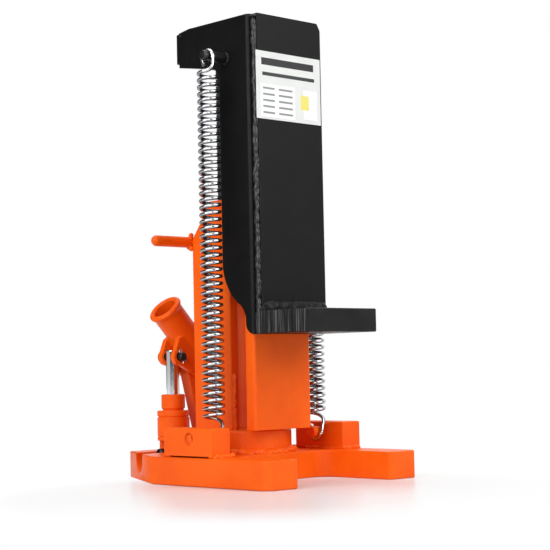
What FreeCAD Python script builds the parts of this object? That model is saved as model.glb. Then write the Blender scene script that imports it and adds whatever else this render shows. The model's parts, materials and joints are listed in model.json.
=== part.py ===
import FreeCAD, Part
import math
import os

# Hydraulic machine jack with a lifting claw, drawn with the claw fully raised.
# Millimetres. +Z is up, the ground is z = 0, the ram axis is x = y = 0 and the toe points to -Y.

# Lift
STROKE = 125.0
TOE_MIN_HEIGHT = 25.0
TOE_THICKNESS = 20.4
TOE_LENGTH = 59.9
TOE_OVERHANG = 2.1
TOE_REBATE = 2.0

# Fits between the pieces
RUNNING_CLEARANCE = 0.05
SEAT_CLEARANCE = 0.02
CLAW_SIDE_CLEARANCE = 0.6
CLAW_FRONT_CLEARANCE = 0.5
STOP_GAP = 0.5
HOOK_GAP = 0.3
SAME_POINT = 1e-6

# Base plate
BASE_THICKNESS = 24.5
BASE_REAR_MARGIN = 39.5
BASE_REAR_HALF_WIDTH = 45.5
BASE_TAPER_START = 19.7
PRONG_PAST_TOE = 0.4
PRONG_BEVEL = 6.0
PRONG_CORNER_RADIUS = 5.0
SLOT_SIDE_CLEARANCE = 12.3
SLOT_CORNER_RADIUS = 15.0
SLOT_WEB = 4.5
GROOVE_HALF_WIDTH = 12.5
GROOVE_DEPTH = 17.0
GROOVE_FLOOR_HALF_WIDTH = 0.5
GALLERY_RADIUS = 2.5

# Ram
RAM_RADIUS = 20.0
PISTON_LENGTH = 14.0
PISTON_FLOOR_GAP = 10.9
SEAL_HEIGHT = 7.0
SEAL_DEPTH = 3.5
RAM_SPIGOT_RADIUS = 14.0
RAM_SPIGOT_LENGTH = 12.0

# Column: foot, pressure cylinder, tank and the plates welded to it
FOOT_FLANGE = 10.0
FOOT_HEIGHT = 21.1
FOOT_SEAT_DEPTH = 8.0
BUSH_WALL = 2.5
CYLINDER_WALL = 4.5
OIL_GAP = 3.0
TANK_WALL = 3.0
GUIDE_BUSH_LENGTH = 46.0
TOP_NUT_FLANGE = 12.0
TOP_NUT_SPIGOT = 6.0
WIPER_WALL = 4.5
WIPER_HEIGHT = 4.0
GUIDE_STANDOFF = 7.2
GUIDE_THICKNESS = 13.0
GUIDE_DROP = 2.0
GUIDE_SPACER_HALF_WIDTH = 14.0
FRAME_PLATE_THICKNESS = 8.0
FRAME_PLATE_WEB = 1.5
FRAME_PLATE_FRONT = 22.4
FRAME_REAR_INSET = 5.3
FRAME_DROP = 3.0
FRAME_CUT_DEPTH = 24.0
FRAME_CUT_HEIGHT = 30.0
CARRY_BAR_RADIUS = 5.0
CARRY_BAR_REACH = 77.3
CARRY_BAR_DROP = 32.6
FILLER_RADIUS = 6.0
FILLER_HEAD_RADIUS = 8.0
FILLER_HEAD_HEIGHT = 3.0
FILLER_HEIGHT = 130.0

# Claw
SIDE_PLATE_THICKNESS = 6.0
FRONT_PLATE_THICKNESS = 15.0
RABBET_DEPTH = 6.8
FRONT_CORNER_CUT_WIDTH = 5.0
FRONT_CORNER_CUT_HEIGHT = 8.0
HEAD_GAP = 6.0
HEAD_THICKNESS = 28.4
HEAD_REAR = 46.6
HEAD_TAPER_START = 20.0
HEAD_TAPER_INSET = 7.6
HEAD_CORNER_RADIUS = 8.0
HEAD_SIDE_DROP = 3.1
HEAD_SLOPE_ANGLE = 10.3
HEAD_FILLET_RADIUS = 11.0
SIDE_REAR_SETBACK = 21.3
LEG_CLEARANCE = 3.0
LEG_TIP_FLAT = 1.4
SHOULDER_OVER_TOE = 18.7
SHOULDER_RADIUS = 41.5
SHOULDER_ANGLE = 60.0
SHOULDER_STRAIGHT = 0.5
LABEL_MARGIN = 1.7
LABEL_HEIGHT = 60.0
LABEL_DROP = 33.4
LABEL_THICKNESS = 0.3

# Return springs and what holds them
SPRING_SETBACK = 30.0
SPRING_RADIUS = 10.0
SPRING_WIRE = 3.0
SPRING_TURNS = 50
SPRING_SLEEVE = 0.6
SPRING_TO_PIN_LOWER = 11.0
SPRING_TO_PIN_UPPER = 13.0
SPRING_TO_BAR = 6.7
UPPER_PIN_RADIUS = 4.7
UPPER_PIN_DROP = 35.5
LOWER_PIN_RADIUS = 5.0
PIN_OVERHANG = 6.4
BAR_GAP = 13.2
BAR_WIDTH = 22.8
BAR_SET_IN = 1.0
BAR_FRONT = 58.5
BAR_REAR = 4.4
BAR_HEIGHT = 25.0
BAR_PIN_HEIGHT = 16.0

# Pump
PUMP_X = -24.5
PUMP_STANDOFF = 28.0
BLOCK_LEFT_REACH = 5.5
BLOCK_RIGHT_REACH = 40.5
BLOCK_HALF_DEPTH = 15.0
BLOCK_TOP = 10.0
PLUNGER_RADIUS = 6.0
PLUNGER_FLOOR_GAP = 1.6
PLUNGER_PAST_PACKING = 8.7
PLUNGER_TOP_OVER_PIN = 6.5
PACKING_WALL = 2.5
PACKING_HEIGHT = 4.0
PUMP_NUT_WALL = 5.0
PUMP_NUT_HEIGHT = 15.0
PUMP_NUT_THREAD_WALL = 3.0
PUMP_NUT_THREAD = 8.7
BARREL_STEP = 4.0
HANDLE_SWING = 50.0
ARM_LENGTH_X = 24.0
ARM_RISE = 12.0
PIN_RADIUS = 4.0
SLOT_PLAY = 0.5
EAR_PLAY = 0.5
EAR_THICKNESS = 5.5
EAR_RADIUS = 8.0
EAR_NUT_GAP = 4.4
LUG_PLAY = 0.5
LUG_RADIUS = 9.0
LUG_REACH = 9.5
LUG_REACH_DROP = 5.0
LUG_CORNER_RADIUS = 5.0
LUG_FOOT_WIDTH = 10.4
PIN_HEAD_RADIUS = 6.0
PIN_HEAD_HEIGHT = 3.0
PIN_TAIL = 5.0
SPLIT_PIN_RADIUS = 0.9
SPLIT_PIN_HALF_LENGTH = 7.5

# Handle socket
SOCKET_ANGLE = 47.0
SOCKET_BORE_RADIUS = 11.3
SOCKET_BORE_DEPTH = 45.9
SOCKET_WALL = 3.2
SOCKET_FLOOR = 4.0
SOCKET_RIM_STEP = 2.0
SOCKET_RIM_LENGTH = 4.0
SOCKET_MOUTH_ALONG = 65.3
SOCKET_AXIS_OFFSET = 15.3
EAR_NECK_ALONG = 30.9
EAR_TAIL_ALONG = 60.9

# Valves
RELEASE_RISE = -1.5
RELEASE_RADIUS = 3.5
RELEASE_DEPTH = 26.0
RELEASE_HEAD_RADIUS = 4.5
RELEASE_HEAD_LENGTH = 13.0
RELEASE_SLOT_WIDTH = 2.5
RELEASE_SLOT_DEPTH = 3.0
BALL_RADIUS = 2.5
BALL_PLAY = 0.1
BALL_SEAT_WALL = 0.8
CHECK_OFFSET = 27.0
CHECK_PLUG_RADIUS = 3.2
CHECK_PLUG_LENGTH = 10.0
CHECK_PLUG_HEAD_RADIUS = 4.0
CHECK_PLUG_HEAD = 4.0

# Radii of the column, from the ram outwards
bore_radius = RAM_RADIUS + BUSH_WALL
cylinder_radius = bore_radius + CYLINDER_WALL
tank_radius = cylinder_radius + OIL_GAP + TANK_WALL
foot_radius = tank_radius + FOOT_FLANGE
wiper_radius = RAM_RADIUS + WIPER_WALL
guide_half_width = tank_radius + FRAME_PLATE_WEB
guide_front = tank_radius + GUIDE_STANDOFF + GUIDE_THICKNESS
frame_rear = tank_radius - FRAME_REAR_INSET

# Heights of the column, from the base upwards, with the ram fully raised
base_top = BASE_THICKNESS
foot_top = base_top + FOOT_HEIGHT
cylinder_bottom = foot_top - FOOT_SEAT_DEPTH
piston_bottom = cylinder_bottom + PISTON_FLOOR_GAP + STROKE
piston_top = piston_bottom + PISTON_LENGTH
bush_bottom = piston_top + STOP_GAP
nut_bottom = bush_bottom + GUIDE_BUSH_LENGTH
tank_top = nut_bottom + TOP_NUT_SPIGOT
nut_top = tank_top + TOP_NUT_FLANGE
guide_top = nut_top - GUIDE_DROP
frame_top = nut_top - FRAME_DROP

# Heights of the raised claw
toe_top = TOE_MIN_HEIGHT + STROKE
toe_bottom = toe_top - TOE_THICKNESS
toe_seat = toe_top - TOE_REBATE
head_underside = nut_top + HEAD_GAP + STROKE
head_top = head_underside + HEAD_THICKNESS
upper_pin_z = head_top - UPPER_PIN_DROP

# Widths and depths of the claw, from the guide outwards
claw_inner = guide_half_width + CLAW_SIDE_CLEARANCE
claw_outer = claw_inner + SIDE_PLATE_THICKNESS
head_rear_half_width = claw_outer - HEAD_TAPER_INSET
label_half_width = claw_outer - LABEL_MARGIN
toe_half_width = claw_outer + TOE_OVERHANG
claw_back_y = -(guide_front + CLAW_FRONT_CLEARANCE)
claw_front_y = claw_back_y - FRONT_PLATE_THICKNESS
claw_seam_y = claw_front_y + RABBET_DEPTH
toe_front_y = claw_front_y - TOE_LENGTH

# Base slot, springs and spring bars
slot_half_width = toe_half_width + SLOT_SIDE_CLEARANCE
slot_back_y = -(foot_radius + SLOT_WEB)
prong_y = toe_front_y - PRONG_PAST_TOE
bar_inner = slot_half_width + BAR_GAP
bar_outer = bar_inner + BAR_WIDTH
base_half_width = bar_outer + BAR_SET_IN
bar_top = base_top + BAR_HEIGHT
spring_x = bar_inner - SPRING_TO_BAR
spring_y = -SPRING_SETBACK
lower_pin_z = base_top + BAR_PIN_HEIGHT
coil_bottom = lower_pin_z + SPRING_TO_PIN_LOWER
coil_top = upper_pin_z - SPRING_TO_PIN_UPPER

# Swing of the handle and the stroke that it gives the plunger
arm_angle = math.atan2(ARM_RISE, ARM_LENGTH_X)
arm_end_angle = arm_angle - math.radians(HANDLE_SWING)
pump_stroke = ARM_LENGTH_X * (math.tan(arm_angle) - math.tan(arm_end_angle))

# Pump and handle, from the base upwards, with the plunger fully raised
pump_y = foot_radius + PUMP_STANDOFF
base_rear = pump_y + BASE_REAR_MARGIN
block_left = PUMP_X - BLOCK_LEFT_REACH
block_right = PUMP_X + BLOCK_RIGHT_REACH
block_top = base_top + BLOCK_TOP
ball_cage = BALL_RADIUS + BALL_PLAY
chamber_bottom = block_top + BALL_SEAT_WALL + 2 * ball_cage
plunger_bottom = chamber_bottom + PLUNGER_FLOOR_GAP + pump_stroke
packing_bottom = plunger_bottom + PLUNGER_PAST_PACKING
pump_nut_top = packing_bottom + PACKING_HEIGHT
barrel_top = pump_nut_top - PUMP_NUT_HEIGHT
nut_thread_bottom = barrel_top - PUMP_NUT_THREAD
plunger_pin_z = pump_nut_top + EAR_NUT_GAP + EAR_RADIUS + pump_stroke
fulcrum_x = PUMP_X + ARM_LENGTH_X
fulcrum_z = plunger_pin_z - ARM_RISE
packing_radius = PLUNGER_RADIUS + PACKING_WALL
nut_thread_radius = PLUNGER_RADIUS + PUMP_NUT_THREAD_WALL
pump_nut_radius = PLUNGER_RADIUS + PUMP_NUT_WALL
barrel_radius = pump_nut_radius + BARREL_STEP
ear_inner = PLUNGER_RADIUS + EAR_PLAY
ear_outer = ear_inner + EAR_THICKNESS
socket_radius = SOCKET_BORE_RADIUS + SOCKET_WALL
socket_rim_radius = socket_radius + SOCKET_RIM_STEP
socket_length = SOCKET_BORE_DEPTH + SOCKET_FLOOR

# Valves
groove_bottom = base_top - GROOVE_DEPTH
release_z = base_top + RELEASE_RISE
check_x = PUMP_X + CHECK_OFFSET
check_z = (base_top + block_top) / 2
check_rear = pump_y + BLOCK_HALF_DEPTH
check_seat = check_rear - CHECK_PLUG_LENGTH


def vector(x, y, z):
    return FreeCAD.Vector(x, y, z)


def box(x0, x1, y0, y1, z0, z1):
    return Part.makeBox(x1 - x0, y1 - y0, z1 - z0, vector(x0, y0, z0))


def rod(radius, start, end):
    """Round bar between two points."""
    span = vector(*end) - vector(*start)
    return Part.makeCylinder(radius, span.Length, vector(*start), span)


def disc(radius, z0, z1, x=0.0, y=0.0):
    """Upright round bar between two heights."""
    return rod(radius, (x, y, z0), (x, y, z1))


def ring(outer, inner, z0, z1, x=0.0, y=0.0):
    return disc(outer, z0, z1, x, y).cut(disc(inner, z0, z1, x, y))


def rounded_outline(corners):
    """Closed flat outline of (u, v, radius) corners, each corner rounded by a tangent arc."""
    edges = []
    starts = []
    for i, (u, v, radius) in enumerate(corners):
        here = vector(u, v, 0)
        before = vector(*corners[i - 1][:2], 0)
        after = vector(*corners[(i + 1) % len(corners)][:2], 0)
        back = (before - here).normalize()
        ahead = (after - here).normalize()
        half_angle = back.getAngle(ahead) / 2
        reach = radius / math.tan(half_angle)
        bisector = (back + ahead).normalize()
        middle = here + bisector * (radius / math.sin(half_angle) - radius)
        starts.append((here + back * reach, middle, here + ahead * reach, radius))
    for i, (arc_start, middle, arc_end, radius) in enumerate(starts):
        if radius > 0:
            edges.append(Part.Arc(arc_start, middle, arc_end).toShape())
        following = starts[(i + 1) % len(starts)][0]
        if (following - arc_end).Length > SAME_POINT:
            edges.append(Part.LineSegment(arc_end, following).toShape())
    return Part.Wire(edges)


def plan_solid(corners, z0, z1):
    """Outline of (x, y, radius) corners, drawn from above, between two heights."""
    face = Part.Face(rounded_outline(corners))
    return face.extrude(vector(0, 0, z1 - z0)).translated(vector(0, 0, z0))


def side_solid(corners, x0, x1):
    """Outline of (y, z, radius) corners, seen from the side, between two x positions."""
    face = Part.Face(rounded_outline(corners))
    solid = face.extrude(vector(0, 0, x1 - x0))
    turn = FreeCAD.Rotation(vector(1, 1, 1), 120)
    solid.Placement = FreeCAD.Placement(vector(x0, 0, 0), turn)
    return solid


def front_solid(corners, y0, y1):
    """Outline of (x, z, radius) corners, seen from the front, between two y positions."""
    face = Part.Face(rounded_outline(corners))
    solid = face.extrude(vector(0, 0, y0 - y1))
    solid.Placement = FreeCAD.Placement(vector(0, y0, 0), FreeCAD.Rotation(vector(1, 0, 0), 90))
    return solid


def mirrored(shape):
    """The same piece on the other side of the x = 0 plane."""
    return shape.mirror(vector(0, 0, 0), vector(1, 0, 0))


def groove_outline(half_width, bottom, top):
    """Upright U section of the release valve's groove, as (y, z, radius) corners."""
    round_bottom = half_width - GROOVE_FLOOR_HALF_WIDTH
    return [
        (pump_y - half_width, top, 0), (pump_y + half_width, top, 0),
        (pump_y + half_width, bottom, round_bottom), (pump_y - half_width, bottom, round_bottom),
    ]


def base_plate():
    bevel_x = base_half_width - PRONG_BEVEL
    bevel_y = prong_y + PRONG_BEVEL
    right = [
        (slot_half_width, slot_back_y, SLOT_CORNER_RADIUS),
        (slot_half_width, prong_y, PRONG_CORNER_RADIUS),
        (bevel_x, prong_y, 0),
        (base_half_width, bevel_y, 0),
        (base_half_width, BASE_TAPER_START, 0),
        (BASE_REAR_HALF_WIDTH, base_rear, 0),
    ]
    left = [(-x, y, radius) for x, y, radius in reversed(right)]
    plate = plan_solid(right + left, 0, base_top)
    groove_section = groove_outline(GROOVE_HALF_WIDTH, groove_bottom, base_top)
    groove = side_solid(groove_section, -base_half_width, block_right)
    gallery_z = base_top / 2
    feed = rod(GALLERY_RADIUS, (0, 0, gallery_z), (0, pump_y, gallery_z))
    riser = disc(GALLERY_RADIUS, gallery_z, base_top)
    return plate.cut(groove).cut(feed).cut(riser)


def spring_bar():
    """Right-hand bar on the base that carries the lower end of a spring."""
    bar = box(bar_inner, bar_outer, -BAR_FRONT, BAR_REAR, base_top, bar_top)
    inner_end = (bar_inner, spring_y, lower_pin_z)
    outer_end = (bar_outer, spring_y, lower_pin_z)
    hole = rod(LOWER_PIN_RADIUS + SEAT_CLEARANCE, inner_end, outer_end)
    return bar.cut(hole)


def lower_spring_pin():
    inner_end = spring_x - PIN_OVERHANG
    return rod(LOWER_PIN_RADIUS, (inner_end, spring_y, lower_pin_z), (bar_outer, spring_y, lower_pin_z))


def upper_spring_pin():
    outer_end = spring_x + PIN_OVERHANG
    return rod(UPPER_PIN_RADIUS, (claw_outer, spring_y, upper_pin_z), (outer_end, spring_y, upper_pin_z))


def spring_eye(pin_z, pin_radius, coil_end, up):
    """Hook wire that leaves the end of the coil, passes round a pin and comes back."""
    wire = SPRING_WIRE / 2 - RUNNING_CLEARANCE
    loop = SPRING_RADIUS - SPRING_WIRE / 2
    side = 1 if up else -1
    centre_z = pin_z + side * (pin_radius + HOOK_GAP + SPRING_WIRE / 2 - loop)
    section = Part.makeCircle(wire, vector(spring_x, spring_y + loop, centre_z))
    centre = vector(spring_x, spring_y, centre_z)
    eye = Part.Face(Part.Wire(section)).revolve(centre, vector(1, 0, 0), 180 * side)
    for leg_y in (spring_y - loop, spring_y + loop):
        leg_end = coil_end - side * SPRING_WIRE / 2
        eye = eye.fuse(rod(wire, (spring_x, leg_y, centre_z), (spring_x, leg_y, leg_end)))
    return eye


def return_spring():
    """Right-hand spring: every turn is a rib on a thin sleeve, with a hook at each end."""
    wire = SPRING_WIRE / 2
    mean = SPRING_RADIUS - wire
    pitch = (coil_top - coil_bottom - SPRING_WIRE) / (SPRING_TURNS - 1)
    edges = []
    point = vector(mean, 0, coil_bottom)
    for turn in range(SPRING_TURNS):
        centre = coil_bottom + wire + turn * pitch
        arc_start = vector(mean, 0, centre - wire)
        arc_end = vector(mean, 0, centre + wire)
        if (arc_start - point).Length > SAME_POINT:
            edges.append(Part.LineSegment(point, arc_start).toShape())
        edges.append(Part.Arc(arc_start, vector(mean + wire, 0, centre), arc_end).toShape())
        point = arc_end
    sleeve = [
        point, vector(mean - SPRING_SLEEVE, 0, coil_top),
        vector(mean - SPRING_SLEEVE, 0, coil_bottom), vector(mean, 0, coil_bottom),
    ]
    for start, end in zip(sleeve, sleeve[1:]):
        edges.append(Part.LineSegment(start, end).toShape())
    coil = Part.Face(Part.Wire(edges)).revolve(vector(0, 0, 0), vector(0, 0, 1), 360)
    coil.translate(vector(spring_x, spring_y, 0))
    upper_eye = spring_eye(upper_pin_z, UPPER_PIN_RADIUS, coil_top, True)
    lower_eye = spring_eye(lower_pin_z, LOWER_PIN_RADIUS, coil_bottom, False)
    return coil.fuse(upper_eye).fuse(lower_eye)


def foot():
    seat = disc(cylinder_radius + SEAT_CLEARANCE, cylinder_bottom, foot_top)
    port = disc(GALLERY_RADIUS, base_top, foot_top)
    return disc(foot_radius, base_top, foot_top).cut(seat).cut(port)


def filler_hole():
    z = foot_top + FILLER_HEIGHT
    inner_y = tank_radius - 2 * TANK_WALL
    outer_y = tank_radius + TANK_WALL
    return rod(FILLER_RADIUS + SEAT_CLEARANCE, (0, inner_y, z), (0, outer_y, z))


def tank_tube():
    tube = ring(tank_radius, tank_radius - TANK_WALL, foot_top, tank_top)
    return tube.cut(filler_hole())


def filler_plug():
    z = foot_top + FILLER_HEIGHT
    stem = rod(FILLER_RADIUS, (0, tank_radius - TANK_WALL, z), (0, tank_radius + FILLER_HEAD_HEIGHT, z))
    cap = rod(FILLER_HEAD_RADIUS, (0, tank_radius, z), (0, tank_radius + FILLER_HEAD_HEIGHT, z))
    return stem.fuse(cap.cut(disc(tank_radius + SEAT_CLEARANCE, foot_top, tank_top))).removeSplitter()


def pressure_cylinder():
    return ring(cylinder_radius, bore_radius, cylinder_bottom, nut_bottom)


def guide_bush():
    return ring(bore_radius, RAM_RADIUS + RUNNING_CLEARANCE, bush_bottom, nut_bottom)


def top_nut():
    flange = disc(tank_radius, tank_top, nut_top)
    spigot = disc(tank_radius - TANK_WALL - SEAT_CLEARANCE, nut_bottom, tank_top)
    wiper_seat = disc(wiper_radius + SEAT_CLEARANCE, nut_top - WIPER_HEIGHT, nut_top)
    bore = disc(RAM_RADIUS + RUNNING_CLEARANCE, nut_bottom, nut_top)
    return flange.fuse(spigot).cut(wiper_seat).cut(bore)


def wiper_ring():
    return ring(wiper_radius, RAM_RADIUS + RUNNING_CLEARANCE, nut_top - WIPER_HEIGHT, nut_top)


def guide_block():
    """Flat-faced rail that the claw runs on, with a spacer down to the round tank."""
    back_y = -(guide_front - GUIDE_THICKNESS)
    rail = box(-guide_half_width, guide_half_width, -guide_front, back_y, foot_top, guide_top)
    spacer = box(-GUIDE_SPACER_HALF_WIDTH, GUIDE_SPACER_HALF_WIDTH, back_y, 0, foot_top, guide_top)
    return rail.fuse(spacer).cut(disc(tank_radius, foot_top, guide_top)).removeSplitter()


def frame_plate():
    """Right-hand plate beside the tank, with its upper rear corner cut off."""
    outline = [
        (-FRAME_PLATE_FRONT, foot_top, 0), (frame_rear, foot_top, 0),
        (frame_rear, frame_top - FRAME_CUT_HEIGHT, 0),
        (frame_rear - FRAME_CUT_DEPTH, frame_top, 0), (-FRAME_PLATE_FRONT, frame_top, 0),
    ]
    plate = side_solid(outline, guide_half_width - FRAME_PLATE_THICKNESS, guide_half_width)
    return plate.cut(disc(tank_radius, foot_top, nut_top))


def carry_bar():
    """Carrying bar across the rear edges of the frame plates, saddled round the tank."""
    y = frame_rear + CARRY_BAR_RADIUS
    z = frame_top - CARRY_BAR_DROP
    straight = CARRY_BAR_REACH - CARRY_BAR_RADIUS
    bar = rod(CARRY_BAR_RADIUS, (-straight, y, z), (straight, y, z))
    for x in (-straight, straight):
        bar = bar.fuse(Part.makeSphere(CARRY_BAR_RADIUS, vector(x, y, z)))
    return bar.cut(disc(tank_radius, foot_top, nut_top)).removeSplitter()


def head_taper_cut(side):
    """Wedge outside the slanted rear corner of the head; side is 1 for right and -1 for left."""
    slope = (claw_outer - head_rear_half_width) / (HEAD_REAR - HEAD_TAPER_START)
    far_y = HEAD_REAR + TOE_LENGTH
    far_x = claw_outer - slope * (far_y - HEAD_TAPER_START)
    wide = claw_outer + TOE_LENGTH
    corners = [
        (claw_outer, HEAD_TAPER_START, 0), (wide, HEAD_TAPER_START, 0),
        (wide, far_y, 0), (far_x, far_y, 0),
    ]
    return plan_solid([(side * x, y, r) for x, y, r in corners], toe_bottom, head_top)


def claw_side():
    """Right-hand side plate: slim leg beside the toe, wide body, and the head reaching rearwards."""
    leg_y = slot_back_y - LEG_CLEARANCE
    body_y = -SIDE_REAR_SETBACK
    leg_corner = leg_y - claw_seam_y - LEG_TIP_FLAT
    incline_angle = math.radians(SHOULDER_ANGLE)
    knee_drop = (body_y - leg_y) / math.tan(incline_angle)
    incline = (body_y - leg_y) / math.sin(incline_angle)
    knee_radius = (incline - SHOULDER_STRAIGHT) / math.tan(incline_angle / 2) - SHOULDER_RADIUS
    shoulder_z = toe_top + SHOULDER_OVER_TOE
    head_slope = math.tan(math.radians(HEAD_SLOPE_ANGLE))
    head_side_low = head_underside - HEAD_SIDE_DROP
    head_low = head_side_low - head_slope * (HEAD_REAR - body_y)
    outline = [
        (claw_seam_y, toe_bottom, 0), (leg_y, toe_bottom, leg_corner),
        (leg_y, shoulder_z - knee_drop, knee_radius), (body_y, shoulder_z, SHOULDER_RADIUS),
        (body_y, head_low, HEAD_FILLET_RADIUS), (HEAD_REAR, head_side_low, HEAD_CORNER_RADIUS),
        (HEAD_REAR, head_top, 0), (claw_seam_y, head_top, 0),
    ]
    return side_solid(outline, claw_inner, claw_outer).cut(head_taper_cut(1))


def claw_front_plate():
    cut_x = claw_outer - FRONT_CORNER_CUT_WIDTH
    cut_z = head_top - FRONT_CORNER_CUT_HEIGHT
    face = [
        (-claw_outer, toe_seat, 0), (claw_outer, toe_seat, 0), (claw_outer, cut_z, 0),
        (cut_x, head_top, 0), (-claw_outer, head_top, 0),
    ]
    tongue = box(-claw_inner, claw_inner, claw_seam_y, claw_back_y, toe_seat, head_top)
    return front_solid(face, claw_front_y, claw_seam_y).fuse(tongue)


def claw_head_block():
    block = box(-claw_inner, claw_inner, claw_back_y, HEAD_REAR, head_underside, head_top)
    socket = disc(RAM_SPIGOT_RADIUS + SEAT_CLEARANCE, head_underside, head_underside + RAM_SPIGOT_LENGTH)
    return block.cut(head_taper_cut(1)).cut(head_taper_cut(-1)).cut(socket)


def toe():
    """Lifting toe, with a rebate behind its top face that the front plate stands in."""
    nose = box(-toe_half_width, toe_half_width, toe_front_y, claw_front_y, toe_bottom, toe_top)
    middle = box(-claw_outer, claw_outer, claw_front_y, claw_seam_y, toe_bottom, toe_seat)
    root = box(-claw_inner, claw_inner, claw_seam_y, claw_back_y, toe_bottom, toe_seat)
    return nose.fuse(middle).fuse(root).removeSplitter()


def label_plate():
    top = head_top - LABEL_DROP
    bottom = top - LABEL_HEIGHT
    front_y = claw_front_y - LABEL_THICKNESS
    return box(-label_half_width, label_half_width, front_y, claw_front_y, bottom, top)


def seal_ring(outer):
    seal_bottom = piston_bottom + (PISTON_LENGTH - SEAL_HEIGHT) / 2
    return ring(outer, outer - SEAL_DEPTH, seal_bottom, seal_bottom + SEAL_HEIGHT)


def ram():
    piston_radius = bore_radius - RUNNING_CLEARANCE
    rod_body = disc(RAM_RADIUS, piston_top, head_underside)
    piston = disc(piston_radius, piston_bottom, piston_top).cut(seal_ring(piston_radius))
    spigot = disc(RAM_SPIGOT_RADIUS, head_underside, head_underside + RAM_SPIGOT_LENGTH - STOP_GAP)
    return rod_body.fuse(piston).fuse(spigot)


def piston_seal():
    return seal_ring(bore_radius - RUNNING_CLEARANCE)


def release_bore(extra):
    inner_end = block_left + RELEASE_DEPTH
    mouth = (block_left, pump_y, release_z)
    return rod(RELEASE_RADIUS + extra, mouth, (inner_end, pump_y, release_z))


def check_bore(extra):
    """Cross drilling for the delivery valve, closed by a plug at the rear of the block."""
    radius = CHECK_PLUG_RADIUS + extra
    return rod(radius, (check_x, check_seat, check_z), (check_x, check_rear, check_z))


def pump_block():
    front_y = pump_y - BLOCK_HALF_DEPTH
    rear_y = pump_y + BLOCK_HALF_DEPTH
    upper = box(block_left, block_right, front_y, rear_y, base_top, block_top)
    lower_half_width = GROOVE_HALF_WIDTH - RUNNING_CLEARANCE
    lower = groove_outline(lower_half_width, groove_bottom + RUNNING_CLEARANCE, base_top)
    key = side_solid(lower, block_left, block_right - RUNNING_CLEARANCE)
    outlet_end = (check_x, check_seat - 2 * ball_cage, check_z)
    outlet = rod(ball_cage, outlet_end, (check_x, check_seat, check_z))
    block = upper.fuse(key).cut(release_bore(RUNNING_CLEARANCE))
    return block.cut(check_bore(SEAT_CLEARANCE)).cut(outlet)


def inlet_ball():
    return Part.makeSphere(BALL_RADIUS, vector(PUMP_X, pump_y, chamber_bottom - ball_cage))


def outlet_ball():
    return Part.makeSphere(BALL_RADIUS, vector(check_x, check_seat - ball_cage, check_z))


def check_plug():
    corners = []
    for i in range(7):
        angle = math.radians(60 * i)
        corners.append(vector(math.cos(angle), math.sin(angle), 0) * CHECK_PLUG_HEAD_RADIUS)
    cap = Part.Face(Part.makePolygon(corners)).extrude(vector(0, 0, CHECK_PLUG_HEAD))
    turn = FreeCAD.Rotation(vector(1, 0, 0), -90)
    cap.Placement = FreeCAD.Placement(vector(check_x, check_rear, check_z), turn)
    return check_bore(0).fuse(cap)


def release_screw():
    head_left = block_left - RELEASE_HEAD_LENGTH
    head_end = (block_left, pump_y, release_z)
    head = rod(RELEASE_HEAD_RADIUS, (head_left, pump_y, release_z), head_end)
    half = RELEASE_SLOT_WIDTH / 2
    slot_x = head_left + RELEASE_SLOT_DEPTH
    low = release_z - RELEASE_HEAD_RADIUS
    high = release_z + RELEASE_HEAD_RADIUS
    slot = box(head_left, slot_x, pump_y - half, pump_y + half, low, high)
    return head.fuse(release_bore(0)).cut(slot)


def pump_barrel():
    body = disc(barrel_radius, block_top, barrel_top, PUMP_X, pump_y)
    chamber = disc(PLUNGER_RADIUS + RUNNING_CLEARANCE, chamber_bottom, barrel_top, PUMP_X, pump_y)
    cage = disc(ball_cage, chamber_bottom - 2 * ball_cage, chamber_bottom, PUMP_X, pump_y)
    thread_radius = nut_thread_radius + SEAT_CLEARANCE
    thread = disc(thread_radius, nut_thread_bottom, barrel_top, PUMP_X, pump_y)
    return body.cut(chamber).cut(cage).cut(thread)


def plunger_packing():
    inner = PLUNGER_RADIUS + RUNNING_CLEARANCE
    return ring(packing_radius, inner, packing_bottom, pump_nut_top, PUMP_X, pump_y)


def pump_gland_nut():
    head = disc(pump_nut_radius, barrel_top, pump_nut_top, PUMP_X, pump_y)
    thread = disc(nut_thread_radius, nut_thread_bottom, barrel_top, PUMP_X, pump_y)
    bore = disc(PLUNGER_RADIUS + RUNNING_CLEARANCE, nut_thread_bottom, pump_nut_top, PUMP_X, pump_y)
    recess = disc(packing_radius + SEAT_CLEARANCE, packing_bottom, pump_nut_top, PUMP_X, pump_y)
    return head.fuse(thread).cut(bore).cut(recess)


def cross_pin(radius, x, z, front, rear):
    """Pin along Y whose ends lie the given distances before and behind the pump's middle plane."""
    return rod(radius, (x, pump_y - front, z), (x, pump_y + rear, z))


def plunger():
    body = disc(PLUNGER_RADIUS, plunger_bottom, plunger_pin_z + PLUNGER_TOP_OVER_PIN, PUMP_X, pump_y)
    hole_radius = PIN_RADIUS + SEAT_CLEARANCE
    return body.cut(cross_pin(hole_radius, PUMP_X, plunger_pin_z, ear_outer, ear_outer))


def headed_pin(x, z):
    """Pin through both ears, with a head at the rear and a tail for the split pin at the front."""
    rear = ear_outer + LUG_PLAY
    shank = cross_pin(PIN_RADIUS, x, z, ear_outer + PIN_TAIL, rear)
    head = rod(PIN_HEAD_RADIUS, (x, pump_y + rear, z), (x, pump_y + rear + PIN_HEAD_HEIGHT, z))
    hole_y = pump_y - ear_outer - PIN_TAIL / 2
    drop = PIN_RADIUS + PIN_HEAD_RADIUS
    hole = rod(SPLIT_PIN_RADIUS + SEAT_CLEARANCE, (x, hole_y, z - drop), (x, hole_y, z + drop))
    return shank.fuse(head).cut(hole)


def split_pin(x, z):
    y = pump_y - ear_outer - PIN_TAIL / 2
    return rod(SPLIT_PIN_RADIUS, (x, y, z - SPLIT_PIN_HALF_LENGTH), (x, y, z + SPLIT_PIN_HALF_LENGTH))


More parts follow.
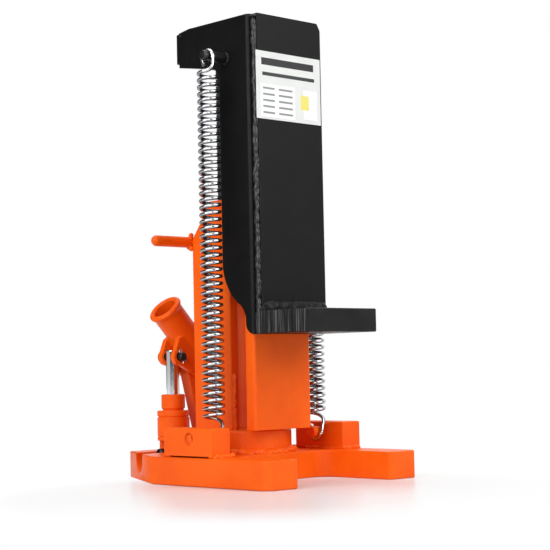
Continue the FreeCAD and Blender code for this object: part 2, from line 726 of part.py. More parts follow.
def fulcrum_bracket():
    """Upright lug that carries the fulcrum pin between the socket's ears."""
    half = ear_inner - LUG_PLAY
    foot_left = block_right - LUG_FOOT_WIDTH
    outline = [
        (foot_left, block_top, 0), (block_right, block_top, 0),
        (fulcrum_x + LUG_RADIUS, fulcrum_z, 0), (fulcrum_x - LUG_RADIUS, fulcrum_z, 0),
        (fulcrum_x - LUG_REACH, fulcrum_z - LUG_REACH_DROP, LUG_CORNER_RADIUS),
    ]
    plate = front_solid(outline, pump_y - half, pump_y + half)
    eye = cross_pin(LUG_RADIUS, fulcrum_x, fulcrum_z, half, half)
    hole = cross_pin(PIN_RADIUS + SEAT_CLEARANCE, fulcrum_x, fulcrum_z, half, half)
    return plate.fuse(eye).cut(hole).removeSplitter()


def socket_point(along, aside):
    """Point (x, z) at a distance from the mouth along the socket, and aside from its axis."""
    angle = math.radians(SOCKET_ANGLE)
    inward = (math.cos(angle), -math.sin(angle))
    below = (-math.sin(angle), -math.cos(angle))
    from_foot = along - SOCKET_MOUTH_ALONG
    reach = aside - SOCKET_AXIS_OFFSET
    x = fulcrum_x + from_foot * inward[0] + reach * below[0]
    z = fulcrum_z + from_foot * inward[1] + reach * below[1]
    return (x, z)


def socket_rod(radius, along_start, along_end):
    start_x, start_z = socket_point(along_start, 0)
    end_x, end_z = socket_point(along_end, 0)
    return rod(radius, (start_x, pump_y, start_z), (end_x, pump_y, end_z))


def socket_ear(y0, y1):
    """One cheek of the clevis under the socket, with lobes round both pins."""
    outline = [
        (*socket_point(EAR_NECK_ALONG, 0), 0), (*socket_point(EAR_NECK_ALONG, socket_radius), 0),
        (PUMP_X - EAR_RADIUS, plunger_pin_z, 0), (PUMP_X, plunger_pin_z - EAR_RADIUS, 0),
        (fulcrum_x, fulcrum_z - EAR_RADIUS, 0), (fulcrum_x + EAR_RADIUS, fulcrum_z, 0),
        (*socket_point(EAR_TAIL_ALONG, -socket_radius), 0),
        (*socket_point(EAR_NECK_ALONG, -socket_radius), 0),
    ]
    ear = front_solid(outline, y0, y1)
    for x, z in ((PUMP_X, plunger_pin_z), (fulcrum_x, fulcrum_z)):
        ear = ear.fuse(rod(EAR_RADIUS, (x, y0, z), (x, y1, z)))
    return ear


def pin_slot():
    """Slot for the plunger pin, long enough for the pin to stay upright over the swing."""
    half_width = PIN_RADIUS + SLOT_PLAY
    near = ARM_LENGTH_X - SLOT_PLAY
    widest_angle = max(abs(arm_angle), abs(arm_end_angle))
    far = ARM_LENGTH_X / math.cos(widest_angle) + SLOT_PLAY
    ends = [(fulcrum_x - r * math.cos(arm_angle), fulcrum_z + r * math.sin(arm_angle)) for r in (near, far)]
    slot = None
    for x, z in ends:
        hole = cross_pin(half_width, x, z, 2 * ear_outer, 2 * ear_outer)
        slot = hole if slot is None else slot.fuse(hole)
    web = Part.makeBox(far - near, 4 * ear_outer, 2 * half_width, vector(near, -2 * ear_outer, -half_width))
    turn = FreeCAD.Rotation(vector(0, 1, 0), 180 + math.degrees(arm_angle))
    web.Placement = FreeCAD.Placement(vector(fulcrum_x, pump_y, fulcrum_z), turn)
    return slot.fuse(web)


def handle_socket():
    rim = socket_rod(socket_rim_radius, 0, SOCKET_RIM_LENGTH)
    tube = socket_rod(socket_radius, 0, socket_length).fuse(rim)
    front_ear = socket_ear(pump_y - ear_outer, pump_y - ear_inner)
    rear_ear = socket_ear(pump_y + ear_inner, pump_y + ear_outer)
    body = tube.fuse(front_ear).fuse(rear_ear)
    hinge = cross_pin(PIN_RADIUS + RUNNING_CLEARANCE, fulcrum_x, fulcrum_z, 2 * ear_outer, 2 * ear_outer)
    return body.cut(socket_rod(SOCKET_BORE_RADIUS, 0, SOCKET_BORE_DEPTH)).cut(hinge).cut(pin_slot())


def build_parts():
    pieces = {
        "base_plate": base_plate(),
        "foot": foot(),
        "tank_tube": tank_tube(),
        "filler_plug": filler_plug(),
        "pressure_cylinder": pressure_cylinder(),
        "guide_bush": guide_bush(),
        "top_nut": top_nut(),
        "wiper_ring": wiper_ring(),
        "guide_block": guide_block(),
        "carry_bar": carry_bar(),
        "claw_front_plate": claw_front_plate(),
        "claw_head_block": claw_head_block(),
        "toe": toe(),
        "label_plate": label_plate(),
        "ram": ram(),
        "piston_seal": piston_seal(),
        "pump_block": pump_block(),
        "inlet_ball": inlet_ball(),
        "outlet_ball": outlet_ball(),
        "check_plug": check_plug(),
        "release_screw": release_screw(),
        "pump_barrel": pump_barrel(),
        "plunger_packing": plunger_packing(),
        "pump_gland_nut": pump_gland_nut(),
        "plunger": plunger(),
        "plunger_pin": headed_pin(PUMP_X, plunger_pin_z),
        "plunger_split_pin": split_pin(PUMP_X, plunger_pin_z),
        "fulcrum_bracket": fulcrum_bracket(),
        "fulcrum_pin": headed_pin(fulcrum_x, fulcrum_z),
        "fulcrum_split_pin": split_pin(fulcrum_x, fulcrum_z),
        "handle_socket": handle_socket(),
    }
    paired = {
        "spring_bar": spring_bar(),
        "lower_spring_pin": lower_spring_pin(),
        "upper_spring_pin": upper_spring_pin(),
        "return_spring": return_spring(),
        "frame_plate": frame_plate(),
        "claw_side": claw_side(),
    }
    for name, shape in paired.items():
        pieces["right_" + name] = shape
        pieces["left_" + name] = mirrored(shape)
    return pieces


os.makedirs("parts", exist_ok=True)
for part_name, part_shape in build_parts().items():
    solids = part_shape.Solids
    print(part_name, len(solids), part_shape.isValid(), round(part_shape.Volume))
    part_shape.exportStep("parts/" + part_name + ".step")
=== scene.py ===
"""Hydraulic machine jack with a lifting claw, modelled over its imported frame.

Sizes are in millimetres in the frame of the solids: +Z is up, the ram axis is x = y = 0 and the toe
points to -Y. A piece is shaped in millimetres and brought to metres when it leaves the bench.
"""

import json
import logging
import math
import random
from collections.abc import Callable, Sequence
from dataclasses import dataclass
from enum import Enum
from typing import Self

import bmesh
import bpy
from mathutils import Matrix, Vector

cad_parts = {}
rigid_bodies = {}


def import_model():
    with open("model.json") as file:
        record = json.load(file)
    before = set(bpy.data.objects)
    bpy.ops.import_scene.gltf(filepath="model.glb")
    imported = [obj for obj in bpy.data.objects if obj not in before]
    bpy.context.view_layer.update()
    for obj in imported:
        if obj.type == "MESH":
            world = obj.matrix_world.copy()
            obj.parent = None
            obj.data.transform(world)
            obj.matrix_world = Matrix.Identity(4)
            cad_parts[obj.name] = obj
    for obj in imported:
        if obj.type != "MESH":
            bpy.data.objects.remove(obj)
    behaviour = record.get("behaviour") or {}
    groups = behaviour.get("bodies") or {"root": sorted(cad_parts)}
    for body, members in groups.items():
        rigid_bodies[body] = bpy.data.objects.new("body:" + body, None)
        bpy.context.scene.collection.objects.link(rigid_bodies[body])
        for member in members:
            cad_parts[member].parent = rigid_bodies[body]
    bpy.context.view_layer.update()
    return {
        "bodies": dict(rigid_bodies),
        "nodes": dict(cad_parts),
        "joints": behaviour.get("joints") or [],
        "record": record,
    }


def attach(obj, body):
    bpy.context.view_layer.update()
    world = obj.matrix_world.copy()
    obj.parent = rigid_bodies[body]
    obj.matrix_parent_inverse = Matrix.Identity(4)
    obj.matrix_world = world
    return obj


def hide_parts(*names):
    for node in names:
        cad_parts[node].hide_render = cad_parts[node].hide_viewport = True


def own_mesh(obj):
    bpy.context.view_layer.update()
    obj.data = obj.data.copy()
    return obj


LOG = logging.getLogger("jack")

MM = 0.001
# Tolerances, and how far a cutter or a sunk end passes a surface, in millimetres.
SAME_POINT = 0.001
NEAR = 0.05
PAST = 1.0
# Length of an arc's steps, and steps of a whole turn.
ARC_STEP = 1.2
ARC_MIN_STEPS = 4
ARC_MAX_STEPS = 32
SMALL_TURN = 40
PIN_TURN = 48
TURN = 72
WIDE_TURN = 96
# Edges above these angles stay sharp; an edge's direction is upright or level by its z.
SMOOTH_ANGLE = math.radians(38)
WIRE_ANGLE = math.radians(60)
UPRIGHT = 0.9
LEVEL = 0.1
FULL_TURN = 2 * math.pi
ALONG_X, ALONG_Y, ALONG_Z = (1, 0, 0), (0, 1, 0), (0, 0, 1)

Point = tuple[float, float, float]
Flat = tuple[float, float]
Corner = tuple[float, float, float]
Colour = tuple[float, float, float]
Test = Callable[[Vector, Vector], bool]
Socket = bpy.types.NodeSocket

# Places that several sub-assemblies share.
BASE_TOP = 24.5
PUMP_Y = 71.0
SPRING_X, SPRING_Y = 62.0, -30.0
PLUNGER_PIN: Flat = (-24.5, 112.006)
FULCRUM: Flat = (-0.5, 100.006)


class Element(Enum):
    """Kinds of mesh element that a selection takes."""

    VERT = "VERT"
    EDGE = "EDGE"


class Combine(Enum):
    """Ways of combining two solids."""

    CUT = "DIFFERENCE"
    JOIN = "UNION"


class Side(Enum):
    """Left and right of the jack, as the sign of x."""

    LEFT = -1
    RIGHT = 1

    def named(self, piece: str) -> str:
        """Name of a piece on this side."""
        return f"{self.name.lower()}_{piece}"


class Body(Enum):
    """Moving bodies of the frame."""

    BASE = "base"
    CLAW = "claw"
    HANDLE = "handle"
    PLUNGER = "plunger"
    RELEASE = "release"


class Slot(Enum):
    """Material slots of the record."""

    ORANGE = "orange_paint"
    BLACK = "black_paint"
    ZINC = "zinc_wire"
    CHROME = "chrome_rod"
    DARK = "dark_steel"
    BARE = "bare_steel"
    BRONZE = "bronze"
    RUBBER = "rubber"
    LABEL = "label_sheet"


class Plane(Enum):
    """Drawing planes of a flat outline: from above, from the side and from the front."""

    PLAN = "plan"
    SIDE = "side"
    FRONT = "front"

    def point(self, u: float, v: float, depth: float) -> Vector:
        """Place a drawn point in space.

        Args:
            u: first coordinate of the drawing (x, or y from the side).
            v: second coordinate of the drawing (y from above, otherwise z).
            depth: coordinate along the direction of view.

        Returns:
            The point in space.
        """
        if self is Plane.PLAN:
            return Vector((u, v, depth))
        return Vector((depth, u, v) if self is Plane.SIDE else (u, depth, v))


def clear_bench() -> None:
    """Leave edit mode and deselect everything."""
    active = bpy.context.view_layer.objects.active
    if active and active.mode != "OBJECT":
        bpy.ops.object.mode_set(mode="OBJECT")
    bpy.ops.object.select_all(action="DESELECT")


def settle() -> None:
    """Apply the place, turn and scale of what is selected."""
    bpy.ops.object.transform_apply(location=True, rotation=True, scale=True)


class Workpiece:
    """One mesh on the bench, shaped by operators in millimetres."""

    def __init__(self, name: str) -> None:
        """Take up the mesh that an operator has just added.

        Args:
            name: name of the piece.
        """
        self.obj = bpy.context.view_layer.objects.active
        self.obj.name = name
        self.obj.data.name = name

    @classmethod
    def block(cls, name: str, low: Point, high: Point) -> Self:
        """Rectangular block between two corners.

        Args:
            name: name of the piece.
            low: lowest corner.
            high: highest corner.

        Returns:
            The block, in object mode.
        """
        clear_bench()
        start, end = Vector(low), Vector(high)
        bpy.ops.mesh.primitive_cube_add(size=1.0, location=(start + end) / 2, scale=end - start)
        settle()
        return cls(name)

    @classmethod
    def chain(cls, name: str, points: Sequence[Point | Vector]) -> Self:
        """Line of points, each extruded from the one before.

        Args:
            name: name of the piece.
            points: the points in order.

        Returns:
            The line, in edit mode with all of it selected.
        """
        clear_bench()
        bpy.ops.mesh.primitive_plane_add(size=1.0)
        piece = cls(name)
        piece.edit()
        bpy.ops.mesh.select_mode(type=Element.VERT.value)
        bpy.ops.mesh.select_all(action="SELECT")
        bpy.ops.mesh.merge(type="CENTER")
        bpy.ops.transform.translate(value=points[0])
        for start, end in zip(points, points[1:]):
            move = Vector(end) - Vector(start)
            bpy.ops.mesh.extrude_vertices_move(TRANSFORM_OT_translate={"value": move})
        bpy.ops.mesh.select_all(action="SELECT")
        return piece

    @classmethod
    def plate(cls, name: str, corners: Sequence[Corner], plane: Plane, near: float, far: float) -> Self:
        """Flat outline with rounded corners, thickened between two depths.

        Args:
            name: name of the piece.
            corners: (u, v, radius) of each corner.
            plane: plane that the outline is drawn in.
            near: depth of the first face.
            far: depth of the second face.

        Returns:
            The plate, in object mode.
        """
        points = [plane.point(u, v, near) for u, v, _ in corners]
        piece = cls.chain(name, [*points, points[0]])
        bpy.ops.mesh.remove_doubles(threshold=SAME_POINT)
        bpy.ops.mesh.edge_face_add()
        for index, (_, _, radius) in enumerate(corners):
            if radius > 0:
                piece.round_corner(points, index, radius)
        bpy.ops.mesh.select_all(action="SELECT")
        thickness = plane.point(0, 0, far - near)
        bpy.ops.mesh.extrude_region_move(TRANSFORM_OT_translate={"value": thickness})
        return piece.face_outwards()

    @classmethod
    def turned(
        cls, name: str, profile: Sequence[Flat], start: Point, axis: Point, steps: int = TURN
    ) -> Self:
        """Shape turned from a profile of (radius, distance along the axis) points.

        Args:
            name: name of the piece.
            profile: points of the profile, closed at the axis or onto itself.
            start: point of the axis at distance 0.
            axis: direction of the axis.
            steps: faces round the turn.

        Returns:
            The turned piece, in object mode.
        """
        piece = cls.chain(name, [(radius, 0.0, along) for radius, along in profile])
        bpy.ops.mesh.spin(steps=steps, angle=FULL_TURN, center=(0, 0, 0), axis=ALONG_Z)
        return piece.face_outwards().place(start, axis)

    @classmethod
    def drum(
        cls, name: str, radius: float, length: float, start: Point, axis: Point, steps: int = SMALL_TURN
    ) -> Self:
        """Plain cylinder along an axis from the middle of its first end, in object mode."""
        profile = [(0.0, 0.0), (radius, 0.0), (radius, length), (0.0, length)]
        return cls.turned(name, profile, start, axis, steps)

    @classmethod
    def tube(cls, name: str, points: Sequence[Point | Vector], radius: float) -> Self:
        """Round wire along a smooth path.

        Args:
            name: name of the piece.
            points: control points of the path, five or more.
            radius: radius of the wire.

        Returns:
            The wire, in object mode.
        """
        clear_bench()
        bpy.ops.curve.primitive_nurbs_path_add()
        curve = bpy.context.view_layer.objects.active.data
        path = curve.splines[0]
        path.points.add(len(points) - len(path.points))
        for knot, point in zip(path.points, points):
            knot.co = (*point, 1.0)
        path.order_u = 4
        path.use_endpoint_u = True
        path.resolution_u = 3
        curve.bevel_depth = radius
        curve.bevel_resolution = 3
        curve.use_fill_caps = True
        bpy.ops.object.convert(target="MESH")
        return cls(name).edit().face_outwards().shade(WIRE_ANGLE)

    def rest(self) -> Self:
        """Go to object mode with this piece alone selected.

        Returns:
            The piece, in object mode.
        """
        clear_bench()
        self.obj.select_set(True)
        bpy.context.view_layer.objects.active = self.obj
        return self

    def edit(self) -> Self:
        """Go to edit mode on this piece.

        Returns:
            The piece, in edit mode.
        """
        self.rest()
        bpy.ops.object.mode_set(mode="EDIT")
        return self

    def place(self, start: Point, axis: Point) -> Self:
        """Move a piece drawn about +Z at the origin to its own axis.

        Args:
            start: where the origin goes.
            axis: where +Z points.

        Returns:
            The piece, in object mode.
        """
        self.rest()
        turn = Vector(ALONG_Z).rotation_difference(Vector(axis))
        self.obj.matrix_world = Matrix.Translation(start) @ turn.to_matrix().to_4x4()
        settle()
        return self

    def face_outwards(self) -> Self:
        """Merge doubles, turn all faces outwards and leave edit mode.

        Returns:
            The piece, in object mode.
        """
        bpy.ops.mesh.select_all(action="SELECT")
        bpy.ops.mesh.remove_doubles(threshold=SAME_POINT)
        bpy.ops.mesh.normals_make_consistent(inside=False)
        return self.rest()

    def pick(self, element: Element, test: Test) -> None:
        """Select the elements that pass a test, in edit mode.

        Args:
            element: kind of element.
            test: test of a point and its normal, or of an edge's middle and direction.
        """
        bpy.ops.mesh.select_mode(type=element.value)
        bpy.ops.mesh.select_all(action="DESELECT")
        mesh = bmesh.from_edit_mesh(self.obj.data)
        if element is Element.VERT:
            for vert in mesh.verts:
                vert.select_set(test(vert.co, vert.normal))
        else:
            for edge in mesh.edges:
                start, end = (vert.co for vert in edge.verts)
                edge.select_set(test((start + end) / 2, (end - start).normalized()))
        mesh.select_flush_mode()
        bmesh.update_edit_mesh(self.obj.data)

    def round_corner(self, points: Sequence[Vector], index: int, radius: float) -> None:
        """Round one corner of a flat outline with an arc.

        Args:
            points: corners of the outline.
            index: which corner.
            radius: radius of the arc.
        """
        here = points[index]
        back = points[index - 1] - here
        ahead = points[(index + 1) % len(points)] - here
        half = back.angle(ahead) / 2
        arc = radius * (math.pi - 2 * half)
        steps = min(ARC_MAX_STEPS, max(ARC_MIN_STEPS, round(arc / ARC_STEP)))
        self.pick(Element.VERT, lambda place, _: (place - here).length < NEAR)
        bpy.ops.mesh.bevel(
            offset_type="ABSOLUTE", offset=radius / math.tan(half), segments=steps, profile=0.5,
            affect="VERTICES", clamp_overlap=False,
        )

    def round_edges(self, test: Test, radius: float, segments: int) -> None:
        """Round the square edges that pass a test.

        Args:
            test: test of an edge's middle and direction.
            radius: radius of the rounding.
            segments: faces across it.
        """
        self.edit()
        self.pick(Element.EDGE, test)
        bpy.ops.mesh.bevel(offset=radius, segments=segments, profile=0.5, affect="EDGES")

    def slice_off(self, point: Point, normal: Point) -> Self:
        """Cut away what lies beyond a plane and close the cut.

        Args:
            point: point of the plane.
            normal: direction of the side that goes.

        Returns:
            The piece, in object mode.
        """
        self.edit()
        bpy.ops.mesh.select_all(action="SELECT")
        bpy.ops.mesh.bisect(
            plane_co=point, plane_no=Vector(normal).normalized(), clear_outer=True, use_fill=True
        )
        return self.face_outwards()

    def modify(self, kind: str, **settings: object) -> Self:
        """Put a modifier on the piece and apply it.

        Args:
            kind: type of the modifier.
            settings: its settings by name.

        Returns:
            The piece, in object mode.
        """
        self.rest()
        modifier = self.obj.modifiers.new(kind.lower(), kind)
        for name, value in settings.items():
            setattr(modifier, name, value)
        bpy.ops.object.modifier_apply(modifier=modifier.name)
        return self

    def combine(self, how: Combine, *others: "Workpiece") -> Self:
        """Cut other pieces out of this one, or join them on, and use them up.

        Args:
            how: what to do with them.
            others: the other pieces.

        Returns:
            The piece, in object mode.
        """
        for other in others:
            self.modify("BOOLEAN", operation=how.value, object=other.obj, solver="EXACT")
            bpy.data.objects.remove(other.obj, do_unlink=True)
        return self

    def soften(self, width: float, segments: int = 3) -> Self:
        """Round every sharp edge a little, in so many faces, and shade the piece."""
        limits = {"limit_method": "ANGLE", "angle_limit": SMOOTH_ANGLE}
        return self.modify("BEVEL", width=width, segments=segments, **limits).shade()

    def shade(self, angle: float = SMOOTH_ANGLE) -> Self:
        """Shade smooth across shallow edges, with the flat faces kept flat.

        Args:
            angle: edges above it stay sharp.

        Returns:
            The piece, in object mode.
        """
        self.rest()
        bpy.ops.object.shade_smooth_by_angle(angle=angle)
        return self.modify("WEIGHTED_NORMAL", keep_sharp=True, weight=100)

    def skin(self, voxel: float, passes: int) -> Self:
        """Melt overlapping shapes into one skin of a certain grain and relax it."""
        self.modify("REMESH", mode="VOXEL", voxel_size=voxel, use_smooth_shade=True)
        return self.modify("SMOOTH", factor=0.5, iterations=passes)

    def gather(self, others: Sequence["Workpiece"]) -> Self:
        """Put other pieces into this mesh without combining their surfaces.

        Args:
            others: the other pieces.

        Returns:
            The piece, in object mode.
        """
        self.rest()
        for other in others:
            other.obj.select_set(True)
        bpy.ops.object.join()
        return self

    def copied(self, name: str, shift: Point = (0, 0, 0), scale: Point = (1, 1, 1)) -> "Workpiece":
        """Copy of the piece with a mesh of its own.

        Args:
            name: name of the copy.
            shift: how far the copy is moved.
            scale: how it is scaled.

        Returns:
            The copy, in object mode.
        """
        self.rest()
        bpy.ops.object.duplicate(linked=False)
        copy = Workpiece(name)
        bpy.ops.transform.translate(value=shift)
        copy.obj.scale = scale
        settle()
        return copy

    def mirrored(self, name: str) -> "Workpiece":
        """Copy of the piece on the other side of x = 0."""
        return self.copied(name, scale=(-1, 1, 1)).edit().face_outwards()


@dataclass(frozen=True)
class WeldBead:
    """Run of overlapping drops of weld metal along a seam.

    Attributes:
        path: points that the seam follows.
        drop: half sizes of a drop along x, y and z.
        pitch: distance between drops.
        seed: start of the random draws.
        jitter: how much the drops vary, as a share of their size.
        grain: fineness of the skin.
        passes: rounds of relaxing the skin.
        tilt: greatest tilt of a drop about each axis.
    """

    path: Sequence[Point]
    drop: Point
    pitch: float
    seed: int
    jitter: float = 0.25
    grain: float = 0.6
    passes: int = 2
    tilt: float = 0.3

    def places(self) -> list[Vector]:
        """Middles of the drops, evenly spaced along the path.

        Returns:
            The middles in order.
        """
        spots: list[Vector] = []
        for start, end in zip(self.path, self.path[1:]):
            first, last = Vector(start), Vector(end)
            count = max(1, round((last - first).length / self.pitch))
            spots.extend(first.lerp(last, step / count) for step in range(count))
        return [*spots, Vector(self.path[-1])]

    def build(self, name: str) -> Workpiece:
        """Lay the drops and melt them together.

        Args:
            name: name of the piece.

        Returns:
            The bead, in object mode.
        """
        draw = random.Random(self.seed)
        clear_bench()
        bead: Workpiece | None = None
        for spot in self.places():
            size = [half * (1 + self.jitter * draw.uniform(-1, 1)) for half in self.drop]
            shift = Vector([half * self.jitter * draw.uniform(-0.5, 0.5) for half in self.drop])
            turn = [draw.uniform(-self.tilt, self.tilt) for _ in range(3)]
            bpy.ops.mesh.primitive_ico_sphere_add(
                subdivisions=2, radius=1.0, location=spot + shift, rotation=turn, scale=size
            )
            if bead is None:
                settle()
                bead = Workpiece(name)
                bead.edit()
        return bead.skin(self.grain, self.passes)




class NodeSheet:
    """Node tree of a material, group or world, filled node by node."""

    def __init__(self, tree: bpy.types.NodeTree) -> None:
        """Start with an empty tree.

        Args:
            tree: the tree to fill.
        """
        self.tree = tree
        tree.nodes.clear()

    def fill(self, node: bpy.types.Node, inputs: dict[str, object]) -> bpy.types.Node:
        """Set or link the inputs of a node.

        Args:
            node: the node.
            inputs: values or sockets by input name, with underscores for spaces.

        Returns:
            The node.
        """
        for name, value in inputs.items():
            self.feed(node.inputs[name.replace("_", " ")], value)
        return node

    def add(self, kind: str, **inputs: object) -> bpy.types.Node:
        """Add a node, by its type without the prefix, and set or link its inputs."""
        return self.fill(self.tree.nodes.new(f"ShaderNode{kind}"), inputs)

    def group(self, tree: bpy.types.NodeTree, **inputs: object) -> bpy.types.NodeOutputs:
        """Place a shared effect.

        Args:
            tree: tree of the effect.
            inputs: values or sockets by input name, with underscores for spaces.

        Returns:
            The outputs of the effect.
        """
        node = self.add("Group")
        node.node_tree = tree
        return self.fill(node, inputs).outputs

    def feed(self, socket: Socket, value: object) -> None:
        """Set a socket's value, or link another socket to it.

        Args:
            socket: the input.
            value: a plain value or an output socket.
        """
        if isinstance(value, Socket):
            self.tree.links.new(value, socket)
        else:
            socket.default_value = value

    def noise(self, vector: object, scale: object, detail: float = 2.0) -> Socket:
        """Value of a noise texture, about 0.5."""
        return self.add("TexNoise", Vector=vector, Scale=scale, Detail=detail).outputs["Fac"]

    def math(self, operation: str, first: object, second: object = 0.0) -> Socket:
        """Result of a calculation.

        Args:
            operation: name of the operation.
            first: first value.
            second: second value.

        Returns:
            The result.
        """
        node = self.add("Math")
        node.operation = operation
        for socket, value in zip(node.inputs, (first, second)):
            self.feed(socket, value)
        return node.outputs[0]

    def stretch(
        self, value: object, start: float, end: float, low: object = 0.0, high: object = 1.0
    ) -> Socket:
        """Value stretched from the range start..end to the range low..high, and held at its ends."""
        node = self.add("MapRange", Value=value, From_Min=start, From_Max=end, To_Min=low, To_Max=high)
        return node.outputs["Result"]

    def blend(self, factor: object, first: object, second: object) -> Socket:
        """Mix of two colours.

        Args:
            factor: share of the second.
            first: first colour, RGB or socket.
            second: second colour, RGB or socket.

        Returns:
            The mixed colour.
        """
        node = self.add("Mix")
        node.data_type = "RGBA"
        self.feed(node.inputs["Factor"], factor)
        for socket, colour in zip((node.inputs[6], node.inputs[7]), (first, second)):
            self.feed(socket, (*colour, 1.0) if isinstance(colour, tuple) else colour)
        return node.outputs[2]

    def parts(self, vector: Socket) -> bpy.types.NodeOutputs:
        """X, Y and Z of a vector."""
        return self.add("SeparateXYZ", Vector=vector).outputs

    def place(self) -> Socket:
        """Coordinates on the object."""
        return self.add("TexCoord").outputs["Object"]


class Effects:
    """Shader node groups that the finishes share.

    Attributes:
        contrast: noise values that are stretched to 0 and 1.
        sideways: least x of a normal that looks sideways.
        downwards: z of a normal where the painted shade of an underside starts and where it is full.
    """

    contrast: Flat = (0.35, 0.65)
    sideways: float = 0.8
    downwards: Flat = (-0.2, -0.6)

    def __init__(self) -> None:
        """Build each group once."""
        self.skin = self._skin()
        self.marks = self._marks()
        self.patch = self._patch()
        # Mask of the painted shade on a coil's inner side and underside.
        self.inside = self._painted_coil_shade()

    @staticmethod
    def _group(
        name: str, inputs: Sequence[str], outputs: Sequence[str]
    ) -> tuple[NodeSheet, bpy.types.NodeOutputs, bpy.types.NodeInputs]:
        """Empty group with number sockets.

        Args:
            name: name of the group.
            inputs: names of its inputs.
            outputs: names of its outputs.

        Returns:
            The sheet of the group, the sockets that hold its inputs and those that take its results.
        """
        tree = bpy.data.node_groups.new(name, "ShaderNodeTree")
        for way, names in (("INPUT", inputs), ("OUTPUT", outputs)):
            for socket in names:
                tree.interface.new_socket(socket, in_out=way, socket_type="NodeSocketFloat")
        sheet = NodeSheet(tree)
        return sheet, tree.nodes.new("NodeGroupInput").outputs, tree.nodes.new("NodeGroupOutput").inputs

    def _skin(self) -> bpy.types.NodeTree:
        """Blotchy tone, uneven gloss and the fine peel of a sprayed or rolled surface.

        Returns:
            The tree of the group.
        """
        sheet, given, result = self._group("surface_skin", ["Blotch", "Peel"], ["Tone", "Gloss", "Height"])
        place = sheet.place()
        tone = sheet.noise(place, given["Blotch"], 5.0)
        gloss = sheet.noise(place, sheet.math("MULTIPLY", given["Blotch"], 3.1), 3.0)
        for name, value in (("Tone", tone), ("Gloss", gloss)):
            sheet.feed(result[name], sheet.stretch(value, *self.contrast))
        sheet.feed(result["Height"], sheet.noise(place, given["Peel"]))
        return sheet.tree

    def _marks(self) -> bpy.types.NodeTree:
        """Upright strokes of a saw or torch on the faces that look sideways.

        Returns:
            The tree of the group.
        """
        sheet, given, result = self._group("cut_marks", ["Fineness", "Stretch"], ["Height", "Mask"])
        coordinates = sheet.add("TexCoord").outputs
        parts = sheet.parts(coordinates["Object"])
        squeezed = sheet.math("MULTIPLY", parts["Z"], given["Stretch"])
        place = sheet.add("CombineXYZ", X=parts["X"], Y=parts["Y"], Z=squeezed).outputs[0]
        sheet.feed(result["Height"], sheet.noise(place, given["Fineness"], 4.0))
        aside = sheet.math("ABSOLUTE", sheet.parts(coordinates["Normal"])["X"])
        sheet.feed(result["Mask"], sheet.math("GREATER_THAN", aside, self.sideways))
        return sheet.tree

    def _patch(self) -> bpy.types.NodeTree:
        """Mask of an upright rectangle on a surface that faces the front.

        Returns:
            The tree of the group.
        """
        sheet, given, result = self._group(
            "printed_patch", ["Middle X", "Middle Z", "Half Width", "Half Height"], ["Mask"]
        )
        parts = sheet.parts(sheet.place())
        inside = []
        for axis, half in (("X", "Half Width"), ("Z", "Half Height")):
            offset = sheet.math("SUBTRACT", parts[axis], given[f"Middle {axis}"])
            inside.append(sheet.math("LESS_THAN", sheet.math("ABSOLUTE", offset), given[half]))
        sheet.feed(result["Mask"], sheet.math("MULTIPLY", *inside))
        return sheet.tree

    def _painted_coil_shade(self) -> bpy.types.NodeTree:
        """Mask of the painted shade on the inner side and the underside of a coil, alike on the left and the
        right.

        Returns:
            The tree of the group.
        """
        sheet, given, result = self._group("coil_shade", ["Middle X", "Middle Y", "Radius"], ["Mask"])
        coordinates = sheet.add("TexCoord").outputs
        parts = sheet.parts(coordinates["Object"])
        across = sheet.math("SUBTRACT", sheet.math("ABSOLUTE", parts["X"]), given["Middle X"])
        along = sheet.math("SUBTRACT", parts["Y"], given["Middle Y"])
        squares = [sheet.math("MULTIPLY", offset, offset) for offset in (across, along)]
        distance = sheet.math("SQRT", sheet.math("ADD", *squares))
        near = sheet.math("LESS_THAN", distance, given["Radius"])
        under = sheet.stretch(sheet.parts(coordinates["Normal"])["Z"], *self.downwards)
        sheet.feed(result["Mask"], sheet.math("MAXIMUM", near, under))
        return sheet.tree


def new_material(name: str) -> tuple[bpy.types.Material, NodeSheet, bpy.types.Node, Socket]:
    """Material with a plain shader to feed.

    Args:
        name: name of the material.

    Returns:
        The material, the sheet of its tree, its shader node and the socket of its surface.
    """
    material = bpy.data.materials.new(name)
    material.use_nodes = True
    sheet = NodeSheet(material.node_tree)
    shader = sheet.add("BsdfPrincipled")
    output = sheet.add("OutputMaterial", Surface=shader.outputs["BSDF"])
    return material, sheet, shader, output.inputs["Surface"]


